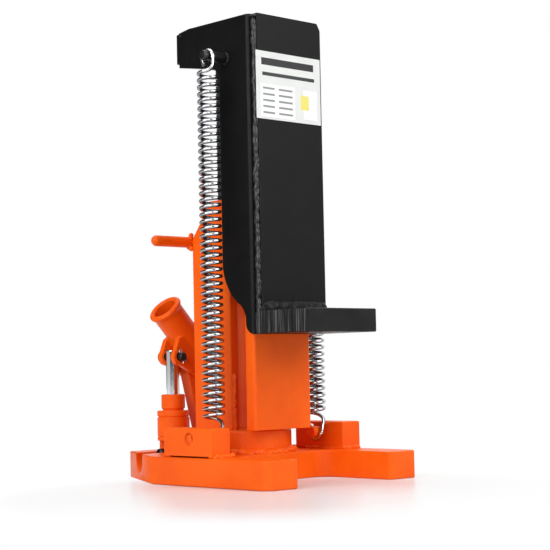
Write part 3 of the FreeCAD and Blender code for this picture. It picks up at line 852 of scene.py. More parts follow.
@dataclass(frozen=True)
class Coating:
    """Paint, plating, rubber or bare metal, with a skin of its own.

    Attributes:
        name: name of the material.
        colour: main colour.
        deep: colour of the darker blotches.
        gloss: least and greatest roughness.
        blotch: fineness of the blotches.
        peel: fineness of the peel.
        relief: height of the peel in metres.
        metallic: 1 for bare or plated metal.
        specular: strength of the reflection.
        marks: height of the cutting strokes in metres, 0 for none.
        wear_and_shade_colour: colour of the strokes where the paint wears off, or of the painted shade on the
            inner side and underside of a coil.
        coil: x and y of a coil's axis and radius of its inner side that takes painted shade, in metres, or
            nothing.
        stroke: fineness of the strokes, and how much they are drawn out upwards.
        bare_from: heights of a stroke between which its paint wears off.
    """

    name: str
    colour: Colour
    deep: Colour
    gloss: Flat
    blotch: float = 30.0
    peel: float = 700.0
    relief: float = 0.00005
    metallic: float = 0.0
    specular: float = 0.5
    marks: float = 0.0
    wear_and_shade_colour: Colour = (0.1, 0.1, 0.1)
    coil: Point | None = None
    stroke: Flat = (900.0, 0.02)
    bare_from: Flat = (0.5, 0.64)

    def material(self, effects: Effects) -> bpy.types.Material:
        """Build the material.

        Args:
            effects: the shared node groups.

        Returns:
            The material.
        """
        material, sheet, shader, _ = new_material(self.name)
        skin = sheet.group(effects.skin, Blotch=self.blotch, Peel=self.peel)
        colour = sheet.blend(skin["Tone"], self.colour, self.deep)
        bump = sheet.add("Bump", Height=skin["Height"], Distance=self.relief)
        if self.marks:
            fineness, stretch = self.stroke
            strokes = sheet.group(effects.marks, Fineness=fineness, Stretch=stretch)
            height = sheet.math("MULTIPLY", strokes["Height"], strokes["Mask"])
            colour = sheet.blend(sheet.stretch(height, *self.bare_from), colour, self.wear_and_shade_colour)
            bump = sheet.add("Bump", Height=height, Distance=self.marks, Normal=bump.outputs["Normal"])
        # Painted shade: the coil's inner side and underside are mixed towards the darker colour.
        if self.coil:
            x, y, radius = self.coil
            mask = sheet.group(effects.inside, Middle_X=x, Middle_Y=y, Radius=radius)["Mask"]
            colour = sheet.blend(mask, colour, self.wear_and_shade_colour)
        sheet.fill(shader, {
            "Metallic": self.metallic, "Specular IOR Level": self.specular, "Base Color": colour,
            "Roughness": sheet.stretch(skin["Gloss"], 0.0, 1.0, *self.gloss),
            "Normal": bump.outputs["Normal"],
        })
        return material


@dataclass(frozen=True)
class Patch:
    """Printed rectangle on the sticker.

    Attributes:
        x: middle from the sticker's middle.
        z: middle from the sticker's middle.
        half_width: half its width.
        half_height: half its height.
        colour: its ink.
    """

    x: float
    z: float
    half_width: float
    half_height: float
    colour: Colour


@dataclass(frozen=True)
class StickerPrint:
    """Pale sheet with plain ruled stripes, two panels and a small block, and no lettering.

    Attributes:
        name: name of the material.
        middle: middle of the sticker as x and z.
        paper: colour of the sheet.
        shade: colour of its faint cloudiness.
        gloss: least and greatest roughness.
        specular: strength of the reflection.
        rule_rows: number of ruled rows.
        rule_top: height of the first row from the sticker's middle.
        rule_pitch: distance between rows.
        rules: middle and half length of each rule of a row.
    """

    name: str = "sticker_sheet"
    middle: Flat = (-0.8, 348.0)
    paper: Colour = (0.73, 0.74, 0.72)
    shade: Colour = (0.69, 0.7, 0.69)
    gloss: Flat = (0.28, 0.4)
    specular: float = 0.4
    rule_rows: int = 5
    rule_top: float = -2.6
    rule_pitch: float = 5.4
    rules: tuple[Flat, ...] = ((-24.5, 7.0), (-4.0, 8.4))

    def patches(self) -> list[Patch]:
        """What is printed, from the bottom layer up.

        Returns:
            The patches.
        """
        black, grey, rule = (0.015, 0.015, 0.017), (0.03, 0.03, 0.033), (0.24, 0.25, 0.26)
        panel, yellow = (0.83, 0.84, 0.83), (0.78, 0.7, 0.16)
        rows = [
            Patch(x, self.rule_top - self.rule_pitch * row, half, 0.85, rule)
            for row in range(self.rule_rows) for x, half in self.rules
        ]
        return [
            Patch(-1.0, 21.0, 32.0, 3.2, black), Patch(0.0, 10.0, 32.0, 1.6, grey),
            Patch(-13.5, -13.4, 21.0, 14.6, panel), Patch(26.5, -13.0, 8.6, 13.2, panel),
            *rows, Patch(19.5, -11.5, 5.0, 6.5, yellow),
        ]

    def material(self, effects: Effects) -> bpy.types.Material:
        """Build the material.

        Args:
            effects: the shared node groups.

        Returns:
            The material.
        """
        material, sheet, shader, _ = new_material(self.name)
        skin = sheet.group(effects.skin, Blotch=60.0, Peel=1500.0)
        colour = sheet.blend(skin["Tone"], self.paper, self.shade)
        for patch in self.patches():
            printed = sheet.group(
                effects.patch,
                Middle_X=(self.middle[0] + patch.x) * MM, Middle_Z=(self.middle[1] + patch.z) * MM,
                Half_Width=patch.half_width * MM, Half_Height=patch.half_height * MM,
            )
            colour = sheet.blend(printed["Mask"], colour, patch.colour)
        sheet.fill(shader, {
            "Base Color": colour, "Specular IOR Level": self.specular,
            "Roughness": sheet.stretch(skin["Gloss"], 0.0, 1.0, *self.gloss),
        })
        return material


class Paintshop:
    """Materials of the jack, one per slot of the record, and their variants."""

    def __init__(self) -> None:
        """Mix every finish once."""
        effects = Effects()
        black: Colour = (0.0038, 0.0038, 0.004)
        coatings = {
            Slot.ORANGE: Coating(
                "orange_enamel", (0.93, 0.125, 0.004), (0.87, 0.104, 0.003), (0.3, 0.4), specular=0.16
            ),
            Slot.BLACK: Coating(
                "black_enamel", black, (0.0052, 0.0052, 0.0054), (0.36, 0.44), specular=0.15
            ),
            Slot.ZINC: Coating(
                "bright_zinc", (0.66, 0.67, 0.69), (0.6, 0.61, 0.64), (0.16, 0.24),
                blotch=40.0, peel=2600.0, relief=0.00001, metallic=1.0,
            ),
            Slot.CHROME: Coating(
                "hard_chrome", (0.82, 0.83, 0.85), (0.79, 0.8, 0.83), (0.05, 0.09),
                blotch=25.0, peel=3200.0, relief=0.000004, metallic=1.0,
            ),
            Slot.DARK: Coating(
                "oiled_steel", (0.05, 0.05, 0.052), (0.025, 0.025, 0.027), (0.3, 0.5),
                blotch=150.0, peel=1800.0, relief=0.00002, metallic=0.7,
            ),
            Slot.BARE: Coating(
                "machined_steel", (0.55, 0.55, 0.56), (0.42, 0.42, 0.44), (0.2, 0.36),
                blotch=80.0, peel=2200.0, relief=0.00001, metallic=1.0,
            ),
            Slot.BRONZE: Coating(
                "cast_bronze", (0.58, 0.36, 0.15), (0.44, 0.26, 0.1), (0.24, 0.4),
                blotch=90.0, peel=1600.0, relief=0.00002, metallic=1.0,
            ),
            Slot.RUBBER: Coating(
                "black_rubber", (0.02, 0.02, 0.021), (0.03, 0.03, 0.031), (0.55, 0.75),
                blotch=140.0, peel=1400.0, relief=0.00004, specular=0.3,
            ),
            Slot.LABEL: StickerPrint(),
        }
        self.by_slot = {slot: coating.material(effects) for slot, coating in coatings.items()}
        self.cut_black = Coating(
            "cut_black_enamel", black, (0.01, 0.0095, 0.009), (0.34, 0.44),
            relief=0.00006, specular=0.2, marks=0.0006,
        ).material(effects)
        # A lighter black whose colour paints the sheen that the pins' ends and the weld lumps catch: painted
        # reflection.
        self.sheen_black = Coating(
            "sheen_black_enamel", (0.012, 0.012, 0.0115), (0.006, 0.006, 0.006), (0.28, 0.4),
            blotch=90.0, relief=0.00006,
        ).material(effects)
        # Zinc of the coils, with painted shade in a darker grey on their inner side and underside.
        self.coil_zinc = Coating(
            "coil_zinc", (0.55, 0.56, 0.58), (0.48, 0.49, 0.52), (0.14, 0.22),
            blotch=40.0, peel=2600.0, relief=0.00001, metallic=1.0, wear_and_shade_colour=(0.24, 0.24, 0.25),
            coil=(SPRING_X * MM, SPRING_Y * MM, 0.0082),
        ).material(effects)
        self.slate = Coating(
            "slate_steel", (0.2, 0.215, 0.22), (0.182, 0.196, 0.2), (0.2, 0.24),
            blotch=60.0, peel=2400.0, relief=0.000003, metallic=0.9,
        ).material(effects)

    def __getitem__(self, slot: Slot) -> bpy.types.Material:
        """Material of a slot."""
        return self.by_slot[slot]


@dataclass
class Assembly:
    """Group of pieces that are modelled together.

    Attributes:
        paint: the materials.
    """

    paint: Paintshop

    def deliver(
        self, piece: Workpiece, node: str = "", body: Body = Body.BASE, slot: Slot = Slot.ORANGE,
        finish: bpy.types.Material | None = None,
    ) -> None:
        """Bring a piece to metres, dress it and fix it to its body.

        Args:
            piece: the piece.
            node: node of the frame that it replaces, if any.
            body: body that it moves with.
            slot: material slot that it takes its finish from.
            finish: its material, if it isn't the slot's own.
        """
        obj = piece.rest().obj
        obj.scale = (MM, MM, MM)
        settle()
        obj.data.materials.clear()
        obj.data.materials.append(finish or self.paint[slot])
        if node:
            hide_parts(node)
        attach(obj, body.value)
        LOG.info("%s on %s, %d faces", obj.name, body.value, len(obj.data.polygons))

    def build(self) -> None:
        """Model and deliver every piece."""
        raise NotImplementedError


def round_rod(radius: float, length: float, nose: float) -> list[Flat]:
    """Profile of a rod with rounded ends.

    Args:
        radius: radius of the rod.
        length: its whole length.
        nose: radius of the rounding at both ends.

    Returns:
        The profile, closed at the axis.
    """
    quarter = [math.radians(15 * step) for step in range(7)]
    flat = radius - nose
    start = [(flat + nose * math.sin(a), nose - nose * math.cos(a)) for a in quarter]
    end = [(flat + nose * math.cos(a), length - nose + nose * math.sin(a)) for a in quarter]
    ends = [(0.0, 0.0), *start, *end, (0.0, length)]
    return [spot for index, spot in enumerate(ends) if index == 0 or spot != ends[index - 1]]




@dataclass
class BasePlate(Assembly):
    """Forked base plate with the spring bars welded on it."""

    thickness: float = BASE_TOP
    half_width: float = 92.5
    front: float = -129.0
    rear: float = 110.5
    rear_half_width: float = 45.5
    taper_start: float = 19.7
    slot_half_width: float = 55.5
    slot_back: float = -47.5
    slot_radius: float = 15.0
    prong_bevel: float = 6.0
    prong_radius: float = 5.0
    groove_y: float = PUMP_Y
    groove_half_width: float = 12.5
    groove_bottom: float = 7.5
    groove_radius: float = 12.0
    groove_end: float = 16.0
    groove_past: float = 5.0
    edge: float = 1.3
    bar_inner: float = 68.7
    bar_outer: float = 91.5
    bar_front: float = -58.5
    bar_rear: float = 4.4
    bar_top: float = 49.5
    bar_edge: float = 1.6
    joint_ends: Flat = (-55.0, -4.0)
    joint_depth: float = 6.0
    joint_height: float = 1.3
    recess_radius: float = 5.4
    recess_depth: float = 2.5
    pin_radius: float = 5.0
    pin_inner: float = 55.6
    pin_sunk: float = 6.0
    pin_nose: float = 1.2
    pin_y: float = SPRING_Y
    pin_z: float = 40.5
    weld_rear: float = -12.0
    weld_off: float = 0.6
    weld_lift: float = 0.8
    weld_stop: float = 3.6
    weld_seed: int = 20
    plug_inset: float = 1.7

    def build(self) -> None:
        """Model the plate, the bars, their pins and welds."""
        self.deliver(self.plate(), "base_plate")
        bar, pin = self.bar(), self.pin()
        for side, piece, peg in (
            (Side.LEFT, bar.mirrored("left_bar"), pin.mirrored("left_peg")), (Side.RIGHT, bar, pin)
        ):
            piece.soften(self.bar_edge).combine(Combine.CUT, self.open_joint(side), self.recess(side))
            self.deliver(piece.shade(), side.named("spring_bar"))
            self.deliver(peg.shade(), side.named("lower_spring_pin"))
            for name, bead in self.welds(side).items():
                self.deliver(bead.build(side.named(name)))

    def plate(self) -> Workpiece:
        """Forked plate with the groove of the release valve.

        Returns:
            The piece.
        """
        right = [
            (self.slot_half_width, self.slot_back, self.slot_radius),
            (self.slot_half_width, self.front, self.prong_radius),
            (self.half_width - self.prong_bevel, self.front, 0.0),
            (self.half_width, self.front + self.prong_bevel, 0.0),
            (self.half_width, self.taper_start, 0.0),
            (self.rear_half_width, self.rear, 0.0),
        ]
        left = [(-x, y, radius) for x, y, radius in reversed(right)]
        plate = Workpiece.plate("forked_plate", [*right, *left], Plane.PLAN, 0.0, self.thickness)
        low, high = self.groove_y - self.groove_half_width, self.groove_y + self.groove_half_width
        rim = self.thickness + self.groove_past
        section = [
            (low, rim, 0.0), (high, rim, 0.0),
            (high, self.groove_bottom, self.groove_radius), (low, self.groove_bottom, self.groove_radius),
        ]
        start = -self.half_width - self.groove_past
        groove = Workpiece.plate("groove", section, Plane.SIDE, start, self.groove_end)
        return plate.combine(Combine.CUT, groove).soften(self.edge)

    def bar(self) -> Workpiece:
        """Right-hand spring bar with unsoftened edges."""
        low = (self.bar_inner, self.bar_front, self.thickness)
        return Workpiece.block("right_bar", low, (self.bar_outer, self.bar_rear, self.bar_top))

    def open_joint(self, side: Side) -> Workpiece:
        """Cutter of the narrow open joint under the outer edge of one bar.

        Args:
            side: which bar.

        Returns:
            The cutter.
        """
        ends = [side.value * x for x in (self.bar_outer - self.joint_depth, self.bar_outer + PAST)]
        low = (min(ends), self.joint_ends[0], self.thickness - PAST)
        high = (max(ends), self.joint_ends[1], self.thickness + self.joint_height)
        return Workpiece.block("joint", low, high)

    def recess(self, side: Side) -> Workpiece:
        """Cutter of the round hole that the end of one pin is welded in.

        Args:
            side: which bar.

        Returns:
            The cutter.
        """
        start = (side.value * (self.bar_outer - self.recess_depth), self.pin_y, self.pin_z)
        length = self.recess_depth + PAST
        return Workpiece.drum("recess", self.recess_radius, length, start, (side.value, 0, 0))

    def pin(self) -> Workpiece:
        """Right-hand lower spring pin, with its end sunk in the bar.

        Returns:
            The piece.
        """
        length = self.bar_inner + self.pin_sunk - self.pin_inner
        profile = round_rod(self.pin_radius, length, self.pin_nose)
        start = (self.pin_inner, self.pin_y, self.pin_z)
        return Workpiece.turned("right_peg", profile, start, ALONG_X, SMALL_TURN)

    def welds(self, side: Side) -> dict[str, WeldBead]:
        """Beads of one bar: along its feet and over the end of its pin.

        Args:
            side: which bar.

        Returns:
            The beads by name.
        """
        sign = side.value
        seed = self.weld_seed + sign
        inner = sign * (self.bar_inner - self.weld_off)
        outer, plug = (sign * (self.bar_outer - inset) for inset in (self.weld_stop, self.plug_inset))
        foot = self.thickness + self.weld_lift
        front, rear = self.bar_front - self.weld_off, self.bar_rear + self.weld_lift
        start = (inner, front, foot)
        plug_path = (
            (plug, self.pin_y - 1.2, self.pin_z - 2.6), (plug, self.pin_y + 1.0, self.pin_z + 1.4)
        )
        return {
            "bar_front_weld": WeldBead(
                (start, (outer, front, foot)), (2.8, 3.0, 2.8), 3.4, seed, jitter=0.35
            ),
            "bar_inner_weld": WeldBead(
                (start, (inner, self.weld_rear, foot)), (2.0, 2.8, 2.0), 3.2, seed + 4
            ),
            "bar_rear_weld": WeldBead(
                ((inner, rear, foot), (outer, rear, foot)), (2.6, 2.4, 2.2), 3.0, seed + 8
            ),
            "pin_plug_weld": WeldBead(plug_path, (1.5, 3.8, 2.8), 2.2, seed + 12, grain=0.5),
        }


@dataclass
class Column(Assembly):
    """Foot, tank, guide and frame plates that stand on the base, with the carrying bar."""

    base_top: float = BASE_TOP
    foot_radius: float = 43.0
    foot_top: float = 45.6
    foot_chamfer: float = 1.6
    foot_edge: float = 0.6
    ring_off: Flat = (0.4, 1.2)
    ring_step: int = 8
    ring_drops: int = 46
    tank_radius: float = 33.0
    tank_top: float = 240.0
    nut_top: float = 252.0
    nut_bore: float = 24.6
    nut_edge: float = 0.5
    notch_half: float = 3.0
    notch_inset: float = 2.0
    notch_depth: float = 5.0
    ram_radius: float = 20.0
    guide_half_width: float = 34.5
    guide_front: float = -53.2
    guide_back: float = -40.2
    guide_top: float = 250.0
    guide_corner: float = 3.2
    guide_edge: float = 0.9
    spacer_half_width: float = 14.0
    spacer_sunk: float = 6.0
    frame_inner: float = 26.5
    frame_front: float = -22.4
    frame_rear: float = 27.7
    frame_top: float = 249.0
    frame_edge: float = 1.0
    cut_depth: float = 24.0
    cut_height: float = 30.0
    cut_radius: float = 1.5
    cheek_weld_inset: float = 2.6
    cheek_weld_off: float = 0.4
    cheek_weld_top: float = 92.0
    bar_radius: float = 5.0
    bar_reach: float = 77.3
    bar_z: float = 216.4
    bar_weld_off: float = 0.6
    filler_z: float = 175.6
    filler_sunk: float = 3.0
    filler_edge: float = 0.3
    piston_bottom: float = 173.5
    piston_radius: float = 22.45
    piston_length: float = 14.0
    seal_radius: float = 18.95
    seal_ends: Flat = (3.5, 10.5)
    ram_shoulder: float = 383.0
    spigot_radius: float = 14.0
    spigot_top: float = 394.5
    wiper_height: float = 4.0
    wiper_radii: Flat = (20.05, 24.5)

    def build(self) -> None:
        """Model every piece of the column."""
        self.deliver(self.foot(), "foot")
        self.deliver(self.foot_weld())
        self.deliver(self.tank(), "tank_tube")
        self.deliver(self.top_nut(), "top_nut")
        self.deliver(self.guide(), "guide_block")
        frame = self.frame_plate()
        for side, piece in ((Side.LEFT, frame.mirrored("left_cheek")), (Side.RIGHT, frame)):
            self.deliver(piece.soften(self.frame_edge), side.named("frame_plate"))
            self.deliver(self.cheek_weld(side))
            self.deliver(self.bar_weld(side))
        self.deliver(self.carry_bar(), "carry_bar")
        self.deliver(self.ram(), "ram", Body.CLAW, Slot.DARK, self.paint.slate)
        self.deliver(self.wiper(), "wiper_ring", slot=Slot.RUBBER)
        self.deliver(self.filler(), "filler_plug", slot=Slot.RUBBER)

    def upright(self, name: str, profile: Sequence[Flat], bottom: float) -> Workpiece:
        """Shape turned about the ram axis from points of (radius, height over the bottom)."""
        return Workpiece.turned(name, profile, (0, 0, bottom), ALONG_Z, WIDE_TURN)

    def foot(self) -> Workpiece:
        """Round foot with a chamfered top edge.

        Returns:
            The piece.
        """
        height, r, chamfer = self.foot_top - self.base_top, self.foot_radius, self.foot_chamfer
        profile = [(0.0, 0.0), (r, 0.0), (r, height - chamfer), (r - chamfer, height), (0.0, height)]
        return self.upright("round_foot", profile, self.base_top).soften(self.foot_edge)

    def foot_weld(self) -> Workpiece:
        """Bead round the bottom of the foot.

        Returns:
            The piece.
        """
        radius, z = self.foot_radius + self.ring_off[0], self.base_top + self.ring_off[1]
        turns = [math.radians(self.ring_step * step) for step in range(self.ring_drops)]
        path = [(radius * math.cos(a), radius * math.sin(a), z) for a in turns]
        return WeldBead(path, (5.2, 5.2, 3.8), 6.1, 31, jitter=0.28, passes=8).build("foot_weld")

    def tank(self) -> Workpiece:
        """Round tank with a welded lower rim.

        Returns:
            The piece.
        """
        r, height = self.tank_radius, self.tank_top - self.foot_top
        rim = [(0.0, 0.0), (r + 2.2, 0.0), (r + 1.6, 1.4), (r + 0.4, 2.6), (r, 4.2)]
        profile = [*rim, (r, height - 1.0), (r - 0.8, height), (0.0, height)]
        return self.upright("oil_tank", profile, self.foot_top).shade()

    def top_nut(self) -> Workpiece:
        """Round nut that closes the tank, with spanner notches and a chamfered rim.

        Returns:
            The piece.
        """
        r, bore, top = self.tank_radius, self.nut_bore, self.nut_top - self.tank_top
        profile = [
            (bore, 0.0), (r - 0.8, 0.0), (r, 0.8), (r, top - 2.2),
            (r - 2.2, top), (bore + 1.0, top), (bore, top - 1.0), (bore, 0.0),
        ]
        nut = self.upright("tank_nut", profile, self.tank_top)
        half = Vector((self.notch_half, self.notch_half, 0))
        for index in range(4):
            angle = math.radians(45 + 90 * index)
            spot = Vector((math.cos(angle), math.sin(angle), 0)) * (r - self.notch_inset)
            low, high = spot - half, spot + half
            low.z, high.z = self.nut_top - self.notch_depth, self.nut_top + 2 * PAST
            nut.combine(Combine.CUT, Workpiece.block("notch", low, high))
        return nut.soften(self.nut_edge, 2)

    def guide(self) -> Workpiece:
        """Flat rail in front, with rounded upright corners and a spacer down to the tank.

        Returns:
            The piece.
        """
        half, aside = self.guide_half_width, self.spacer_half_width
        low = (-half, self.guide_front, self.foot_top)
        rail = Workpiece.block("guide_rail", low, (half, self.guide_back, self.guide_top))
        rail.round_edges(lambda _, along: abs(along.z) > UPRIGHT, self.guide_corner, 6)
        low = (-aside, self.guide_back - PAST, self.foot_top)
        high = (aside, -self.tank_radius + self.spacer_sunk, self.guide_top)
        return rail.combine(Combine.JOIN, Workpiece.block("spacer", low, high)).soften(self.guide_edge)

    def frame_plate(self) -> Workpiece:
        """Right-hand plate beside the tank, with unsoftened edges.

        Returns:
            The piece.
        """
        front, rear, top = self.frame_front, self.frame_rear, self.frame_top
        outline = [
            (front, self.foot_top, 0.0), (rear, self.foot_top, 0.0),
            (rear, top - self.cut_height, self.cut_radius),
            (rear - self.cut_depth, top, self.cut_radius), (front, top, 0.0),
        ]
        return Workpiece.plate(
            "right_cheek", outline, Plane.SIDE, self.frame_inner, self.guide_half_width
        )

    def cheek_weld(self, side: Side) -> Workpiece:
        """Bead up the front edge of one frame plate.

        Args:
            side: which plate.

        Returns:
            The bead.
        """
        x = side.value * (self.guide_half_width - self.cheek_weld_inset)
        y = self.frame_front - self.cheek_weld_off
        path = ((x, y, self.foot_top), (x, y, self.cheek_weld_top))
        return WeldBead(path, (1.6, 3.2, 3.4), 4.4, 50 + side.value).build(side.named("cheek_weld"))

    def bar_weld(self, side: Side) -> Workpiece:
        """Bead that holds the carrying bar to one frame plate.

        Args:
            side: which plate.

        Returns:
            The bead.
        """
        x, z = side.value * (self.guide_half_width + self.bar_weld_off), self.bar_z
        y = self.frame_rear + self.bar_weld_off
        path = ((x, y, z - 6), (x, y + 3.2, z - 4.6), (x, y, z + 6))
        return WeldBead(path, (2.2, 2.4, 2.4), 2.6, 60 + side.value).build(side.named("carry_weld"))

    def carry_bar(self) -> Workpiece:
        """Carrying bar with round ends.

        Returns:
            The piece.
        """
        start = (-self.bar_reach, self.frame_rear + self.bar_radius, self.bar_z)
        profile = round_rod(self.bar_radius, 2 * self.bar_reach, self.bar_radius)
        return Workpiece.turned("carrying_bar", profile, start, ALONG_X, SMALL_TURN).shade()

    def ram(self) -> Workpiece:
        """Ram with its grooved piston below and the spigot that the head sits on.

        Returns:
            The piece.
        """
        r, groove, rod, spigot = self.piston_radius, self.seal_radius, self.ram_radius, self.spigot_radius
        low, high = self.seal_ends
        shoulder, top = self.ram_shoulder - self.piston_bottom, self.spigot_top - self.piston_bottom
        piston = [
            (0.0, 0.0), (r - 1.0, 0.0), (r, 1.0), (r, low), (groove, low), (groove, high), (r, high),
            (r, self.piston_length - 1.0), (r - 1.0, self.piston_length), (rod, self.piston_length),
        ]
        neck = [(rod, shoulder), (spigot, shoulder), (spigot, top - 1.0), (spigot - 1.0, top), (0.0, top)]
        return self.upright("ram_rod", [*piston, *neck], self.piston_bottom).shade()

    def wiper(self) -> Workpiece:
        """Rubber wiper with a lip round the ram.

        Returns:
            The piece.
        """
        (inner, outer), top = self.wiper_radii, self.wiper_height
        profile = [
            (inner, 0.0), (outer, 0.0), (outer, top - 0.6), (outer - 0.6, top), (inner + 1.8, top),
            (inner + 0.6, top - 1.0), (inner, top - 1.0), (inner, 0.0),
        ]
        return self.upright("ram_wiper", profile, self.nut_top - top).shade()

    def filler(self) -> Workpiece:
        """Push-in oil plug with a domed cap and a pry recess.

        Returns:
            The piece.
        """
        profile = [
            (0.0, 0.0), (6.0, 0.0), (6.0, 2.4), (8.0, 2.4), (8.0, 4.4), (7.0, 5.6), (4.4, 6.0),
            (3.6, 5.2), (0.0, 5.0),
        ]
        start = (0, self.tank_radius - self.filler_sunk, self.filler_z)
        return Workpiece.turned("oil_plug", profile, start, ALONG_Y, PIN_TURN).soften(self.filler_edge, 2)


@dataclass
class Claw(Assembly):
    """Welded claw: side plates, front plate, head, toe, upper pins and sticker."""

    inner: float = 35.1
    outer: float = 41.1
    front: float = -68.7
    seam: float = -61.9
    back: float = -53.7
    toe_bottom: float = 129.6
    toe_top: float = 150.0
    toe_seat: float = 148.0
    toe_front: float = -128.6
    toe_half_width: float = 43.2
    leg: float = -50.5
    leg_bend: float = 151.84
    body: float = -21.3
    body_bend: float = 168.7
    head_rear: float = 46.6
    head_under: float = 383.0
    side_under: float = 379.9
    side_edge: float = 1.5
    side_rounds: tuple[float, ...] = (10.0, 16.0, 41.5, 11.0, 8.0)
    head_low: float = 367.56
    head_edge: float = 1.0
    top: float = 411.4
    taper_start: float = 20.0
    taper_inset: float = 7.6
    corner_width: float = 5.0
    corner_height: float = 8.0
    joint: float = 0.7
    groove_depth: float = 2.8
    groove_width: float = 3.3
    front_edge: float = 0.7
    front_inset: float = 0.15
    front_joint: float = 0.2
    front_rounds: Flat = (1.7, 1.4)
    front_drop: float = 0.2
    head_drop: float = 0.4
    edge_radius: float = 4.4
    edge_past: float = 0.2
    torch_steps: Flat = (0.6, 1.8)
    torch_depth: float = 0.8
    torch_seeds: tuple[int, int] = (75, 76)
    toe_corner: float = 2.4
    toe_edge: float = 1.2
    toe_smooth: float = math.radians(10)
    pin_radius: float = 4.7
    pin_end: float = 68.4
    pin_sunk: float = 3.0
    pin_nose: float = 1.6
    hook_x: float = SPRING_X
    seat_depth: float = 1.5
    seat_half: Flat = (2.2, 3.0)
    pin_y: float = SPRING_Y
    pin_z: float = 375.9
    label_half_width: float = 39.4
    label_shift: float = -0.8
    label_low: float = 318.0
    label_high: float = 378.0
    label_thickness: float = 0.3
    label_corner: float = 0.6
    label_gap: float = 0.02

    def build(self) -> None:
        """Model every piece of the claw."""
        side_plate, pin = self.side_plate(), self.pin()
        for side, plate, peg in (
            (Side.LEFT, side_plate.mirrored("left_flank"), pin.mirrored("left_hanger")),
            (Side.RIGHT, side_plate, pin),
        ):
            plate.soften(self.side_edge, 4).combine(Combine.CUT, self.rolled_edge(side))
            self.deliver_black(plate.shade(), side.named("claw_side"))
            self.deliver_black(peg.shade(), side.named("upper_spring_pin"), self.paint.sheen_black)
            for name, bead in self.welds(side).items():
                self.deliver_black(bead.build(side.named(name)), finish=self.paint.sheen_black)
        self.deliver_black(self.front_plate(), "claw_front_plate")
        self.deliver_black(self.head(), "claw_head_block")
        self.deliver_black(self.toe(), "toe", self.paint.cut_black)
        self.deliver_black(self.toe_weld())
        self.deliver(self.sticker(), "label_plate", Body.CLAW, Slot.LABEL)

    def deliver_black(
        self, piece: Workpiece, node: str = "", finish: bpy.types.Material | None = None
    ) -> None:
        """Deliver a black piece of the claw, in plain black unless a finish is named."""
        self.deliver(piece, node, Body.CLAW, Slot.BLACK, finish)

    def taper(self, piece: Workpiece, side: Side) -> Workpiece:
        """Cut the slanted rear corner of the head off a piece.

        Args:
            piece: the piece.
            side: side of the corner.

        Returns:
            The piece.
        """
        run = self.head_rear - self.taper_start
        corner = (side.value * self.outer, self.taper_start, 0)
        return piece.slice_off(corner, (side.value * run, self.taper_inset, 0))

    def side_plate(self) -> Workpiece:
        """Right-hand side plate with unsoftened edges.

        Returns:
            The piece.
        """
        edge, (foot, leg, bend, neck, head) = self.seam + self.joint, self.side_rounds
        outline = [
            (edge, self.toe_bottom, 0.0), (self.leg, self.toe_bottom, foot),
            (self.leg, self.leg_bend, leg), (self.body, self.body_bend, bend),
            (self.body, self.head_low, neck), (self.head_rear, self.side_under, head),
            (self.head_rear, self.top, 0.0), (edge, self.top, 0.0),
        ]
        plate = Workpiece.plate("right_flank", outline, Plane.SIDE, self.inner, self.outer)
        return self.taper(plate, Side.RIGHT)

    def rolled_edge(self, side: Side) -> Workpiece:
        """Cutter that rolls the front edge of one side plate into the weld groove.

        Args:
            side: which plate.

        Returns:
            The cutter.
        """
        x, y, radius = self.outer, self.seam + self.joint, self.edge_radius
        reach = radius + self.edge_past
        corners = [
            (x + PAST, y - PAST, 0.0), (x + PAST, y + reach, 0.0), (x, y + reach, 0.0),
            (x, y, radius), (x - reach, y, 0.0), (x - reach, y - PAST, 0.0),
        ]
        outline = [(side.value * u, v, r) for u, v, r in corners]
        low, high = self.toe_bottom - PAST, self.top + PAST
        return Workpiece.plate("edge_cutter", outline, Plane.PLAN, low, high)

    def front_plate(self) -> Workpiece:
        """Thick front plate with a weld groove on each side, the right one hidden, and a cut corner.

        Returns:
            The piece.
        """
        wide, joint = self.outer - self.front_inset, self.seam + self.front_joint
        right, left = self.front_rounds
        hidden, open_edge = wide - self.groove_depth, self.groove_width - wide
        outline = [
            (wide, self.front, right), (wide, self.front + 2.0, 0.0), (hidden, self.front + 3.8, 0.0),
            (hidden, joint, 0.0), (self.inner, joint, 0.0), (self.inner, self.back, 0.0),
            (-self.inner, self.back, 0.0), (-self.inner, joint, 0.0),
            (open_edge, joint, 0.0), (open_edge, self.front, left),
        ]
        top = self.top - self.front_drop
        plate = Workpiece.plate("front_slab", outline, Plane.PLAN, self.toe_seat, top)
        corner = (self.outer, self.front, self.top - self.corner_height)
        plate.slice_off(corner, (self.corner_height, 0, self.corner_width))
        return plate.soften(self.front_edge)

    def head(self) -> Workpiece:
        """Solid head between the side plates.

        Returns:
            The piece.
        """
        low = (-self.inner, self.back, self.head_under)
        high = (self.inner, self.head_rear, self.top - self.head_drop)
        head = Workpiece.block("head_block", low, high)
        for side in (Side.RIGHT, Side.LEFT):
            self.taper(head, side)
        return head.soften(self.head_edge)

    def torch_cut(self, seed: int) -> list[Corner]:
        """Uneven right-hand edge of the toe as a torch leaves it, from the rear to the front.

        Args:
            seed: start of the random draws.

        Returns:
            The corners of the edge.
        """
        draw = random.Random(seed)
        edge: list[Corner] = []
        y = self.front
        while y > self.toe_front + 2 * self.toe_corner:
            edge.append((self.toe_half_width - draw.uniform(0, self.torch_depth), y, 0.0))
            y -= draw.uniform(*self.torch_steps)
        return [*edge, (self.toe_half_width, self.toe_front, self.toe_corner)]

